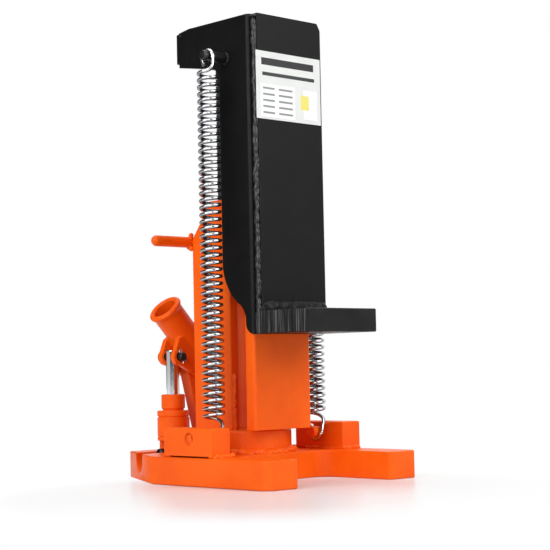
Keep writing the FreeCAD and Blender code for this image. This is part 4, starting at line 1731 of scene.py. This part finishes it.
    def toe(self) -> Workpiece:
        """Lifting toe with torch-cut sides and its root under the front plate.

        Returns:
            The piece.
        """
        right, left = (self.torch_cut(seed) for seed in self.torch_seeds)
        outline = [*right, *((-x, y, radius) for x, y, radius in reversed(left))]
        toe = Workpiece.plate("lifting_toe", outline, Plane.PLAN, self.toe_bottom, self.toe_top)
        toe.round_edges(
            lambda place, along: abs(along.z) < LEVEL and place.y < self.front - PAST, self.toe_edge, 3
        )
        for name, half, start, end in (
            ("root", self.outer - 0.2, self.front - 2, self.seam - self.joint),
            ("tongue", self.inner, self.seam - 2, self.back),
        ):
            low, high = (-half, start, self.toe_bottom), (half, end, self.toe_seat)
            toe.combine(Combine.JOIN, Workpiece.block(name, low, high))
        return toe.shade(self.toe_smooth)

    def toe_weld(self) -> Workpiece:
        """Fillet between the front plate and the top of the toe.

        Returns:
            The piece.
        """
        y, z = self.front - 0.4, self.toe_top + 0.8
        path = ((-self.outer + 9, y, z), (self.outer - 10, y, z), (self.outer - 7, y, z - 2))
        return WeldBead(path, (9.0, 5.0, 8.4), 5.0, 71, jitter=0.1, passes=8).build("toe_weld")

    def pin(self) -> Workpiece:
        """Right-hand upper spring pin with a weld collar at its root and a seat for the hook.

        Returns:
            The piece.
        """
        r, start = self.pin_radius, self.outer - self.pin_sunk
        rod = round_rod(r, self.pin_end - self.outer + self.pin_sunk, self.pin_nose)
        collar = [(0.0, 0.0), (r + 1.2, 0.0), (r + 1.0, 3.4), (r + 0.4, 4.4), (r, 5.4)]
        seat, low = self.hook_x - self.outer + self.pin_sunk, r - self.seat_depth
        inner, outer = self.seat_half
        groove = [(r, seat - outer), (low, seat - inner), (low, seat + inner), (r, seat + outer)]
        profile = [*collar, *groove, *(spot for spot in rod if spot[1] > seat + outer + 0.2)]
        return Workpiece.turned(
            "right_hanger", profile, (start, self.pin_y, self.pin_z), ALONG_X, PIN_TURN
        )

    def welds(self, side: Side) -> dict[str, WeldBead]:
        """Beads of one side: the front seam, its cap and the seam on top of the head.

        Args:
            side: which side.

        Returns:
            The beads by name.
        """
        sign = side.value
        x, y, joint = sign * (self.outer - 2.3), self.front + 3.6, sign * self.inner
        end = self.top - (self.corner_height + 7 if side is Side.RIGHT else 7)
        cap, ridge = end + 4.6, self.top - 2.6
        return {
            "front_seam_weld": WeldBead(
                ((x, y, self.toe_top - 7), (x, y, end - 1.5)), (2.6, 2.6, 6.0), 5.0, 80 + sign,
                jitter=0.2, grain=0.5, passes=3,
            ),
            "front_cap_weld": WeldBead(
                ((x, y - 1.4, cap), (x, y + 2.6, cap)), (2.4, 1.9, 1.6), 1.8, 84 + sign,
                jitter=0.1, grain=0.5,
            ),
            "head_seam_weld": WeldBead(
                ((joint, self.back, ridge), (joint, self.taper_start + 18, ridge)),
                (2.0, 2.6, 1.2), 2.8, 90 + sign, jitter=0.15,
            ),
        }

    def sticker(self) -> Workpiece:
        """Thin sheet with rounded corners on the front plate.

        Returns:
            The piece.
        """
        left, right = (self.label_shift + sign * self.label_half_width for sign in (-1, 1))
        low, high = self.label_low, self.label_high
        outline = [
            (x, z, self.label_corner) for x, z in ((left, low), (right, low), (right, high), (left, high))
        ]
        near, far = self.front - self.label_thickness, self.front - self.label_gap
        return Workpiece.plate("sticker", outline, Plane.FRONT, near, far).shade()




@dataclass(frozen=True)
class HookPath:
    """Way of a hook from one end of a coil round its pin.

    Attributes:
        name: name of the piece.
        angle: where the coil ends.
        end: height of the coil's end.
        knee: points between the coil and the pin.
        pin_z: height of the pin.
        pin_radius: radius of the pin.
        up: 1 for the upper hook, -1 for the lower.
    """

    name: str
    angle: float
    end: float
    knee: tuple[Point, ...]
    pin_z: float
    pin_radius: float
    up: int


@dataclass
class ReturnSprings(Assembly):
    """Two wire springs, each with a coil and a hook at both ends."""

    x: float = SPRING_X
    y: float = SPRING_Y
    mean: float = 8.25
    wire: float = 1.75
    turns: int = 49
    steps: int = 24
    sides: int = 12
    upper: HookPath = HookPath(
        "upper_hook", math.radians(-135), 361.4,
        ((-3.0, -8.2, 363.4), (-0.6, -7.6, 366.8), (0.0, -7.3, 370.8)), 375.9, 3.2, 1,
    )
    lower: HookPath = HookPath(
        "lower_hook", math.radians(60), 57.5, ((7.6, 2.0, 56.0), (6.2, -6.6, 51.5)), 40.5, 5.0, -1
    )
    lead_step: float = math.radians(8)
    loop: float = 7.3
    loop_gap: float = 0.1
    loop_steps: int = 18
    hook_turn: float = math.radians(230)
    shortened: float = 125.0

    def build(self) -> None:
        """Model the coil and the hooks once, and copy them to both sides."""
        coil, upper, lower = self.coil(), self.hook(self.upper), self.hook(self.lower)
        for side in Side:
            shift = (side.value * self.x, self.y, 0.0)
            turn = coil.copied(side.named("coil"), shift)
            self.deliver(turn, side.named("return_spring"), slot=Slot.ZINC, finish=self.paint.coil_zinc)
            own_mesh(turn.obj)
            self.deliver(upper.copied(side.named("upper_hook"), shift), "", Body.CLAW, Slot.ZINC)
            self.deliver(lower.copied(side.named("lower_hook"), shift), "", Body.BASE, Slot.ZINC)
        for pattern in (coil, upper, lower):
            bpy.data.objects.remove(pattern.obj, do_unlink=True)

    @property
    def height(self) -> float:
        """Height of the coil between the middles of its end wires."""
        return self.upper.end - self.lower.end

    @property
    def wound(self) -> float:
        """Whole angle that the coil is wound through."""
        return self.turns * FULL_TURN + self.upper.angle - self.lower.angle

    def coil(self) -> Workpiece:
        """Coil about the origin's upright axis, with closed ends.

        Returns:
            The piece.
        """
        across, along = math.cos(self.lower.angle), math.sin(self.lower.angle)
        clear_bench()
        bpy.ops.mesh.primitive_circle_add(vertices=self.sides, radius=self.wire)
        coil = Workpiece("coil_pattern")
        coil.place((self.mean * across, self.mean * along, self.lower.end), (-along, across, 0))
        steps = self.turns * self.steps
        coil.modify(
            "SCREW", axis="Z", iterations=1, angle=self.wound, screw_offset=self.height,
            steps=steps, render_steps=steps,
        )
        coil.edit()
        bpy.ops.mesh.select_mode(type=Element.EDGE.value)
        bpy.ops.mesh.select_all(action="DESELECT")
        bpy.ops.mesh.select_non_manifold()
        bpy.ops.mesh.fill_holes(sides=0)
        coil.face_outwards()
        bpy.ops.object.shade_smooth_by_angle(angle=WIRE_ANGLE)
        return coil

    def hook(self, path: HookPath) -> Workpiece:
        """Hook that leaves one end of the coil, passes round a pin and comes back.

        Args:
            path: way of the hook.

        Returns:
            The hook about the coil's axis.
        """
        rise = self.height / self.wound
        spots: list[Point | Vector] = []
        for step in (3, 2, 1, 0):
            back = path.up * step * self.lead_step
            angle = path.angle - back
            spots.append((self.mean * math.cos(angle), self.mean * math.sin(angle), path.end - rise * back))
        crown = Vector(
            (0, 0, path.pin_z + path.up * (path.pin_radius + self.loop_gap + self.wire - self.loop))
        )
        turns = [self.hook_turn * step / self.loop_steps for step in range(self.loop_steps + 1)]
        arc = [crown + Vector((0, -math.cos(a), path.up * math.sin(a))) * self.loop for a in turns]
        return Workpiece.tube(f"{path.name}_pattern", [*spots, *path.knee, *arc], self.wire)


@dataclass
class Pump(Assembly):
    """Hand pump behind the column: block, barrel, nut, plunger, lug, pins and release screw."""

    x: float = PLUNGER_PIN[0]
    y: float = PUMP_Y
    base_top: float = BASE_TOP
    block_left: float = -30.0
    block_right: float = 16.0
    block_half_depth: float = 15.0
    block_top: float = 34.5
    block_edge: float = 1.2
    key_half_width: float = 12.4
    key_bottom: float = 7.6
    key_radius: float = 12.0
    key_rise: float = 2.0
    key_short: float = 0.05
    turned_edge: float = 0.3
    barrel_radius: float = 15.0
    barrel_top: float = 62.2
    bore_floor: float = 5.0
    nut_radius: float = 11.0
    nut_top: float = 77.2
    plunger_radius: float = 6.0
    plunger_bottom: float = 64.5
    plunger_top: float = 118.5
    plunger_nose: float = 1.2
    plunger_play: float = 0.1
    lug_half: float = 6.0
    lug_radius: float = 9.0
    lug_foot: float = 5.6
    lug_shoulder: Corner = (-10.0, 95.006, 5.0)
    lug_sunk: float = 0.5
    lug_edge: float = 0.9
    pin_radius: float = 4.0
    pin_front: float = 54.0
    pin_rear: float = 83.5
    pin_head_radius: float = 6.0
    pin_head: float = 3.0
    pin_edge: float = 0.2
    cotter_y: float = 56.5
    cotter_lean: float = math.radians(24)
    cotter_wire: float = 0.5
    cotter_shape: tuple[Flat, ...] = (
        (-1.9, -6.0), (-1.0, -5.0), (-0.5, -4.0), (-0.5, 0.0), (-0.5, 4.0), (-1.5, 5.0), (-1.2, 6.6),
        (0.0, 7.2), (1.2, 6.6), (1.5, 5.0), (0.5, 4.0), (0.5, 0.0), (0.5, -4.4), (1.4, -5.6), (2.8, -6.4),
    )
    check_spot: Flat = (2.5, 29.5)
    check_radius: float = 4.0
    check_height: float = 4.0
    check_edge: float = 0.5
    release_z: float = 23.0
    release_radius: float = 4.45
    release_left: float = -43.0
    release_edge: float = 0.25
    release_slot: Point = (3.0, 1.25, 8.0)

    def build(self) -> None:
        """Model every piece of the pump."""
        self.deliver(self.block(), "pump_block")
        self.deliver(self.barrel(), "pump_barrel")
        self.deliver(self.nut(), "pump_gland_nut")
        self.deliver(self.lug(), "fulcrum_bracket")
        self.deliver(self.plunger(), "plunger", Body.PLUNGER, Slot.CHROME)
        for name, place, body in (
            ("plunger", PLUNGER_PIN, Body.PLUNGER), ("fulcrum", FULCRUM, Body.BASE)
        ):
            self.deliver(self.pin(f"{name}_bolt", place), f"{name}_pin", body, Slot.DARK)
            self.deliver(self.cotter(f"{name}_cotter", place), f"{name}_split_pin", body, Slot.ZINC)
        self.deliver(self.check_plug(), "check_plug", slot=Slot.DARK)
        self.deliver(self.release(), "release_screw", Body.RELEASE, Slot.DARK)

    @property
    def bore(self) -> float:
        """Radius of the hole that the plunger runs in."""
        return self.plunger_radius + self.plunger_play

    def block(self) -> Workpiece:
        """Pump block with its round-bottomed key in the groove of the base.

        Returns:
            The piece.
        """
        low = (self.block_left, self.y - self.block_half_depth, self.base_top)
        high = (self.block_right, self.y + self.block_half_depth, self.block_top)
        block = Workpiece.block("valve_block", low, high)
        near, far = self.y - self.key_half_width, self.y + self.key_half_width
        top, bottom, radius = self.base_top + self.key_rise, self.key_bottom, self.key_radius
        section = [(near, top, 0.0), (far, top, 0.0), (far, bottom, radius), (near, bottom, radius)]
        key = Workpiece.plate("key", section, Plane.SIDE, self.block_left, self.block_right - self.key_short)
        return block.combine(Combine.JOIN, key).soften(self.block_edge)

    def barrel(self) -> Workpiece:
        """Pump barrel with turned lines, a chamfered top and a blind bore for the plunger.

        Returns:
            The piece.
        """
        r, height = self.barrel_radius, self.barrel_top - self.block_top
        bore, floor = self.bore, self.bore_floor
        profile = [
            (0.0, 0.0), (r, 0.0), (r, 3.0), (r - 0.5, 3.4), (r - 0.5, 4.0), (r, 4.4), (r, height - 6.6),
            (r - 1.0, height - 6.2), (r - 1.0, height - 5.4), (r, height - 5.0), (r, height - 0.8),
            (r - 0.8, height), (bore, height), (bore, floor), (0.0, floor),
        ]
        return self.upright("barrel", profile, self.block_top).soften(self.turned_edge, 2)

    def nut(self) -> Workpiece:
        """Gland nut with chamfers and a bore that shows round the plunger.

        Returns:
            The piece.
        """
        r, height, bore = self.nut_radius, self.nut_top - self.barrel_top, self.bore
        profile = [
            (bore, 0.0), (r - 1.2, 0.0), (r - 1.2, 1.4), (r, 2.2), (r, height - 0.9), (r - 0.9, height),
            (bore + 1.2, height), (bore, height - 1.2), (bore, 0.0),
        ]
        return self.upright("gland_nut", profile, self.barrel_top).soften(self.turned_edge, 2)

    def upright(self, name: str, profile: Sequence[Flat], bottom: float) -> Workpiece:
        """Shape turned about the plunger's axis from points of (radius, height over the bottom)."""
        return Workpiece.turned(name, profile, (self.x, self.y, bottom), ALONG_Z)

    def lug(self) -> Workpiece:
        """Upright lug with a round eye for the fulcrum pin.

        Returns:
            The piece.
        """
        (x, z), r, foot = FULCRUM, self.lug_radius, self.block_top - self.lug_sunk
        outline = [
            (self.lug_foot, foot, 0.0), (self.block_right, foot, 0.0),
            (x + r, z, 0.0), (x - r, z, 0.0), self.lug_shoulder,
        ]
        near, far = self.y - self.lug_half, self.y + self.lug_half
        lug = Workpiece.plate("fulcrum_lug", outline, Plane.FRONT, near, far)
        eye = Workpiece.drum("eye", r, far - near, (x, near, z), ALONG_Y, TURN)
        return lug.combine(Combine.JOIN, eye).soften(self.lug_edge)

    def plunger(self) -> Workpiece:
        """Chromed plunger with rounded ends.

        Returns:
            The piece.
        """
        length = self.plunger_top - self.plunger_bottom
        profile = round_rod(self.plunger_radius, length, self.plunger_nose)
        return self.upright("plunger_rod", profile, self.plunger_bottom).shade()

    def pin(self, name: str, place: Flat) -> Workpiece:
        """Pin across both ears, with a head at the rear.

        Args:
            name: name of the piece.
            place: x and z of its axis.

        Returns:
            The pin.
        """
        shank = self.pin_rear - self.pin_front
        end = shank + self.pin_head
        r, head = self.pin_radius, self.pin_head_radius
        profile = [
            (0.0, 0.0), (r - 0.8, 0.0), (r, 0.8), (r, shank), (head, shank),
            (head, end - 1.0), (head - 1.0, end), (0.0, end),
        ]
        start = (place[0], self.pin_front, place[1])
        return Workpiece.turned(name, profile, start, ALONG_Y, PIN_TURN).soften(self.pin_edge, 2)

    def cotter(self, name: str, place: Flat) -> Workpiece:
        """Split pin with an eye and two legs bent apart, leaning over.

        Args:
            name: name of the piece.
            place: x and z of the pin that it holds.

        Returns:
            The split pin.
        """
        sine, cosine = math.sin(self.cotter_lean), math.cos(self.cotter_lean)
        points = [
            (place[0] + u * cosine - v * sine, self.cotter_y, place[1] + u * sine + v * cosine)
            for u, v in self.cotter_shape
        ]
        return Workpiece.tube(name, points, self.cotter_wire)

    def check_plug(self) -> Workpiece:
        """Chamfered six-sided head of the plug over the outlet ball.

        Returns:
            The piece.
        """
        (x, z), r, rear = self.check_spot, self.check_radius, self.y + self.block_half_depth
        turns = [math.radians(60 * step) for step in range(6)]
        outline = [(x + r * math.cos(turn), z + r * math.sin(turn), 0.0) for turn in turns]
        near, far = rear - PAST, rear + self.check_height
        return Workpiece.plate("check_hexagon", outline, Plane.FRONT, near, far).soften(self.check_edge)

    def release(self) -> Workpiece:
        """Head of the release screw with a slot across it.

        Returns:
            The piece.
        """
        start, r = Vector((self.release_left, self.y, self.release_z)), self.release_radius
        length = self.block_left - self.release_left
        end = length + 3.0
        profile = [
            (0.0, 0.0), (r - 1.0, 0.0), (r, 1.0), (r, length - 1.6), (r - 1.0, length - 1.0),
            (r - 1.0, end), (0.0, end),
        ]
        screw = Workpiece.turned("release_head", profile, start, ALONG_X, PIN_TURN)
        depth, across, along = self.release_slot
        low, high = Vector((-PAST, -across, -along)), Vector((depth, across, along))
        slot = Workpiece.block("slot", start + low, start + high)
        return screw.combine(Combine.CUT, slot).soften(self.release_edge, 2)


@dataclass
class HandleSocket(Assembly):
    """Cast socket for the pump lever, with a rolled rim and two ears."""

    mouth: Point = (-33.845, PUMP_Y, 158.198)
    slant: float = math.radians(47)
    tube_radius: float = 14.5
    rim_radius: float = 16.5
    length: float = 49.9
    bore_radius: float = 11.3
    bore_depth: float = 45.9
    ear_inner: float = 6.5
    ear_outer: float = 12.0
    ear_radius: float = 8.0
    neck: float = 30.9
    neck_step: float = 4.0
    neck_radius: float = 4.0
    tail: float = 60.9
    tail_radius: float = 5.0
    hinge_radius: float = 4.05
    slot_half: float = 4.5
    slot_flat: float = 0.1
    slot_reach: Flat = (23.5, 27.4)
    grain: float = 0.7
    passes: int = 4

    @property
    def inward(self) -> Vector:
        """Direction of the socket's axis, from its mouth inwards."""
        return Vector((math.cos(self.slant), 0, -math.sin(self.slant)))

    def spot(self, along: float, aside: float, radius: float = 0.0) -> Corner:
        """Corner at a distance along the socket and aside from its axis.

        Args:
            along: distance from the mouth.
            aside: distance from the axis, downwards.
            radius: rounding of the corner.

        Returns:
            The corner as x, z and radius.
        """
        sine, cosine = math.sin(self.slant), math.cos(self.slant)
        x = self.mouth[0] + along * cosine - aside * sine
        z = self.mouth[2] - along * sine - aside * cosine
        return (x, z, radius)

    def build(self) -> None:
        """Model the socket as one casting."""
        socket = self.body().combine(Combine.CUT, self.bore(), self.hinge_hole(), self.pin_slot())
        self.deliver(socket.shade(), "handle_socket", Body.HANDLE)

    def body(self) -> Workpiece:
        """Tube, rim and ears melted into one cast skin.

        Returns:
            The piece.
        """
        tube, rim = self.tube_radius, self.rim_radius
        profile = [
            (0.0, 0.0), (rim - 1.6, 0.0), (rim, 1.6), (rim, 3.4), (rim - 1.4, 5.0),
            (tube, 7.4), (tube, self.length - 4), (tube - 3, self.length), (0.0, self.length),
        ]
        body = Workpiece.turned("lever_socket", profile, self.mouth, tuple(self.inward))
        ears = [self.ear(sign) for sign in (-1, 1)]
        lobes = [self.lobe(sign, place) for sign in (-1, 1) for place in (PLUNGER_PIN, FULCRUM)]
        return body.gather([*ears, *lobes]).skin(self.grain, self.passes)

    def depths(self, sign: int) -> list[float]:
        """Lowest and highest y of the front (-1) or rear (1) ear."""
        return sorted(self.mouth[1] + sign * depth for depth in (self.ear_inner, self.ear_outer))

    def ear(self, sign: int) -> Workpiece:
        """Cheek of the clevis on one side of the plunger.

        Args:
            sign: -1 for the front ear, 1 for the rear.

        Returns:
            The cheek, in object mode.
        """
        r, top = self.ear_radius, -self.tube_radius + 1
        (px, pz), (fx, fz) = PLUNGER_PIN, FULCRUM
        outline = [
            self.spot(self.neck, 0),
            self.spot(self.neck - self.neck_step, self.tube_radius, self.neck_radius),
            (px - r, pz, 0.0), (px, pz - r, 0.0), (fx, fz - r, 0.0), (fx + r, fz, 0.0),
            self.spot(self.tail, top, self.tail_radius), self.spot(self.neck, top),
        ]
        return Workpiece.plate(f"cheek_{sign}", outline, Plane.FRONT, *self.depths(sign))

    def lobe(self, sign: int, place: Flat) -> Workpiece:
        """Round boss of one ear about a pin.

        Args:
            sign: -1 for the front ear, 1 for the rear.
            place: x and z of the pin.

        Returns:
            The boss.
        """
        near, far = self.depths(sign)
        name = f"lobe_{sign}_{place[0]:.0f}"
        return Workpiece.drum(name, self.ear_radius, far - near, (place[0], near, place[1]), ALONG_Y)

    def bore(self) -> Workpiece:
        """Cutter of the bore, with a flared mouth.

        Returns:
            The piece.
        """
        r, depth = self.bore_radius, self.bore_depth
        profile = [(0.0, -2.0), (r + 2.2, -2.0), (r + 1.4, -0.1), (r, 1.6), (r, depth), (0.0, depth)]
        return Workpiece.turned("bore", profile, self.mouth, tuple(self.inward), PIN_TURN)

    @property
    def through(self) -> Flat:
        """First y and last y of a cutter that passes both ears."""
        start = self.mouth[1] - 2 * self.ear_outer
        return (start, start + 4 * self.ear_outer)

    def hinge_hole(self) -> Workpiece:
        """Cutter of the round hole for the fulcrum pin."""
        (x, z), (start, end) = FULCRUM, self.through
        return Workpiece.drum("hinge", self.hinge_radius, end - start, (x, start, z), ALONG_Y)

    def pin_slot(self) -> Workpiece:
        """Cutter of the slot for the plunger pin, along the line from the fulcrum.

        Returns:
            The piece.
        """
        hinge, pin = (Vector((x, 0, z)) for x, z in (FULCRUM, PLUNGER_PIN))
        arm = (pin - hinge).normalized()
        across = Vector((-arm.z, 0, arm.x)) * self.slot_half
        near, far = (hinge + arm * reach for reach in self.slot_reach)
        near, far = near - arm * self.slot_half, far + arm * self.slot_half
        ends = (near - across, far - across, far + across, near + across)
        outline = [(point.x, point.z, self.slot_half - self.slot_flat) for point in ends]
        return Workpiece.plate("pin_slot", outline, Plane.FRONT, *self.through)




@dataclass(frozen=True)
class Lamp:
    """Square soft box.

    Attributes:
        name: name of the lamp.
        place: its place in metres.
        size: its side in metres.
        power: its power in watts.
        glint: whether it shows only as a glint on rounded edges.
    """

    name: str
    place: Point
    size: float
    power: float
    glint: bool = False


@dataclass
class Studio:
    """Pale floor, soft lights, white surroundings and the camera of the picture.

    Attributes:
        eye: place of the camera in metres.
        right: direction to the right of the picture.
        up: direction up the picture.
        back: direction towards the viewer.
        lens: focal length in millimetres.
        sensor: width of the sensor in millimetres.
        clip: nearest and farthest distance that the camera sees, in metres.
        target: point in metres that the lamps face.
        lamps: the soft boxes.
        floor_size: side of the floor in metres.
        floor_tone: grey of the floor.
        floor_gloss: roughness of the floor.
        floor_cloud: scale and detail of the floor's faint clouds.
        cloud_shade: share of the floor's tone where a cloud is darkest.
        fade: distances in metres between which the floor fades to white.
        fade_middle: point that they are taken from.
        ambient: brightness of the room as a source of soft light.
        dark_wall: brightness of the dark walls in reflections.
        bright_walls: bearings from the line of sight, brightness and upper end of each bright wall.
        wall_softness: half width in degrees of a wall's soft edge.
        wall_end: half width of the soft upper end of a wall.
        ceiling: where the ceiling begins and half the width of its soft edge.
        ceiling_level: brightness of the ceiling in reflections.
    """

    eye: Point = (-0.957, -1.059, 0.101)
    right: Point = (0.72783, -0.68539, -0.0207)
    up: Point = (-0.02515, -0.05685, 0.99802)
    back: Point = (-0.68523, -0.72595, -0.05861)
    lens: float = 102.1
    sensor: float = 36.0
    clip: Flat = (0.05, 50.0)
    target: Point = (0, 0, 0.18)
    lamps: tuple[Lamp, ...] = (
        Lamp("front_box", (0.5, -1.7, 1.2), 1.4, 27.0), Lamp("left_box", (-1.7, -0.3, 1.0), 1.4, 26.0),
        Lamp("top_box", (0.0, 0.0, 2.0), 1.6, 15.0), Lamp("glint_box", (-1.1, -1.25, 0.6), 0.5, 7.0, True),
    )
    floor_size: float = 12.0
    floor_tone: float = 0.75
    floor_gloss: float = 0.3
    floor_cloud: Flat = (9.0, 3.0)
    cloud_shade: float = 0.97
    fade: Flat = (0.13, 0.24)
    fade_middle: Point = (-0.09, -0.15, 0.0)
    ambient: float = 0.28
    dark_wall: float = 0.06
    bright_walls: tuple[tuple[float, float, float, float], ...] = (
        (60.0, 139.0, 0.7, 0.03), (-113.0, -83.0, 0.8, 1.0), (-83.0, -64.0, 0.1, 1.0), (-64.0, 12.0, 1.0, 1.0)
    )
    wall_softness: float = 5.0
    wall_end: float = 0.06
    ceiling: Flat = (0.75, 0.1)
    ceiling_level: float = 0.7

    def build(self) -> None:
        """Set the camera, the lights, the floor and the surroundings."""
        for name in ("Camera", "Light"):
            spare = bpy.data.objects.get(name)
            if spare:
                bpy.data.objects.remove(spare, do_unlink=True)
        self.camera()
        self.lights()
        self.floor()
        self.surroundings()
        bpy.context.scene.view_settings.view_transform = "Standard"

    def camera(self) -> None:
        """Put the camera where the picture was taken."""
        clear_bench()
        bpy.ops.object.camera_add()
        camera = bpy.context.view_layer.objects.active
        camera.name = "picture_camera"
        camera.data.lens = self.lens
        camera.data.sensor_width = self.sensor
        camera.data.clip_start, camera.data.clip_end = self.clip
        turn = Matrix((self.right, self.up, self.back)).transposed().to_4x4()
        camera.matrix_world = Matrix.Translation(self.eye) @ turn
        bpy.context.scene.camera = camera

    def lights(self) -> None:
        """Hang the soft boxes."""
        for lamp in self.lamps:
            clear_bench()
            bpy.ops.object.light_add(type="AREA", location=lamp.place)
            box = bpy.context.view_layer.objects.active
            box.name = lamp.name
            box.data.size = lamp.size
            box.data.energy = lamp.power
            box.visible_diffuse = not lamp.glint
            away = Vector(lamp.place) - Vector(self.target)
            box.rotation_euler = away.to_track_quat("Z", "Y").to_euler()

    def floor(self) -> None:
        """Lay a pale floor that fades to white away from the object."""
        clear_bench()
        bpy.ops.mesh.primitive_plane_add(size=self.floor_size)
        floor = bpy.context.view_layer.objects.active
        floor.name = "studio_floor"
        material, sheet, shader, surface = new_material("pale_floor")
        shader.inputs["Roughness"].default_value = self.floor_gloss
        place = sheet.place()
        tone = (self.floor_tone,) * 3
        shaded = tuple(self.cloud_shade * part for part in tone)
        cloud = sheet.noise(place, *self.floor_cloud)
        sheet.feed(shader.inputs["Base Color"], sheet.blend(cloud, tone, shaded))
        distance = sheet.add("VectorMath", Vector=place)
        distance.operation = "DISTANCE"
        distance.inputs[1].default_value = self.fade_middle
        fade = sheet.stretch(distance.outputs["Value"], *self.fade)
        path = sheet.add("LightPath").outputs
        seen = sheet.math("MAXIMUM", path["Is Camera Ray"], path["Is Glossy Ray"])
        seen = sheet.math("MAXIMUM", seen, path["Is Transmission Ray"])
        mix = sheet.add("MixShader", Fac=sheet.math("MULTIPLY", fade, seen))
        sheet.feed(mix.inputs[1], shader.outputs["BSDF"])
        sheet.feed(mix.inputs[2], sheet.add("Emission", Strength=1.0).outputs["Emission"])
        sheet.feed(surface, mix.outputs["Shader"])
        floor.data.materials.append(material)

    def surroundings(self) -> None:
        """White background with a plain room of light and dark walls for the reflections."""
        world = bpy.data.worlds.new("white_room")
        bpy.context.scene.world = world
        world.use_nodes = True
        sheet = NodeSheet(world.node_tree)
        path = sheet.add("LightPath").outputs
        seen = sheet.math("MAXIMUM", path["Is Camera Ray"], path["Is Transmission Ray"])
        plain = sheet.stretch(seen, 0.0, 1.0, self.ambient)
        unseen = sheet.math("SUBTRACT", 1.0, path["Is Camera Ray"])
        share = sheet.math("MULTIPLY", path["Is Glossy Ray"], unseen)
        strength = sheet.stretch(share, 0.0, 1.0, plain, self.walls(sheet))
        light = sheet.add("Background", Color=(1, 1, 1, 1), Strength=strength)
        sheet.add("OutputWorld", Surface=light.outputs["Background"])

    def walls(self, sheet: NodeSheet) -> Socket:
        """Brightness of the room's walls by direction.

        Args:
            sheet: sheet of the world.

        Returns:
            The brightness.
        """
        x, y, z = sheet.parts(sheet.add("TexCoord").outputs["Generated"])
        ahead = Vector((-self.back[0], -self.back[1])).normalized()
        towards = sheet.math("ADD", sheet.math("MULTIPLY", x, ahead.x), sheet.math("MULTIPLY", y, ahead.y))
        leftwards = sheet.math(
            "SUBTRACT", sheet.math("MULTIPLY", y, ahead.x), sheet.math("MULTIPLY", x, ahead.y)
        )
        bearing = sheet.math("DEGREES", sheet.math("ARCTAN2", leftwards, towards))
        soft, end = self.wall_softness, self.wall_end
        light: Socket | float = self.dark_wall
        for low, high, level, top in self.bright_walls:
            band = sheet.math(
                "MULTIPLY", self.step(sheet, bearing, low, soft), self.step(sheet, bearing, high, -soft)
            )
            band = sheet.math("MULTIPLY", band, self.step(sheet, z, top, -end))
            light = sheet.math("ADD", light, sheet.math("MULTIPLY", band, level))
        overhead = self.step(sheet, z, *self.ceiling)
        return sheet.math("ADD", light, sheet.math("MULTIPLY", overhead, self.ceiling_level))

    @staticmethod
    def step(sheet: NodeSheet, value: Socket, edge: float, softness: float) -> Socket:
        """Soft step from 0 to 1 across an edge, or down where the softness is negative."""
        return sheet.stretch(value, edge - softness, edge + softness)


def dress_nodes(frame: dict, paint: Paintshop) -> None:
    """Give every node of the frame its procedural material.

    Args:
        frame: the loaded frame.
        paint: the materials.
    """
    for node in frame["nodes"].values():
        for holder in node.material_slots:
            holder.material = paint[Slot(holder.material.name)]


def corners(bounds: tuple[Vector, Vector]) -> list[list[float]]:
    """Two corners of a box as plain lists."""
    return [[float(value) for value in corner] for corner in bounds]


def main() -> None:
    """Build the studio and every sub-assembly in order."""
    logging.basicConfig(level=logging.INFO, format="%(name)s: %(message)s", force=True)
    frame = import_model()
    Studio().build()
    paint = Paintshop()
    dress_nodes(frame, paint)
    for assembly in (BasePlate, Column, Claw, ReturnSprings, Pump, HandleSocket):
        LOG.info("building %s", assembly.__name__)
        assembly(paint).build()
    clear_bench()


if __name__ == "__main__":
    main()
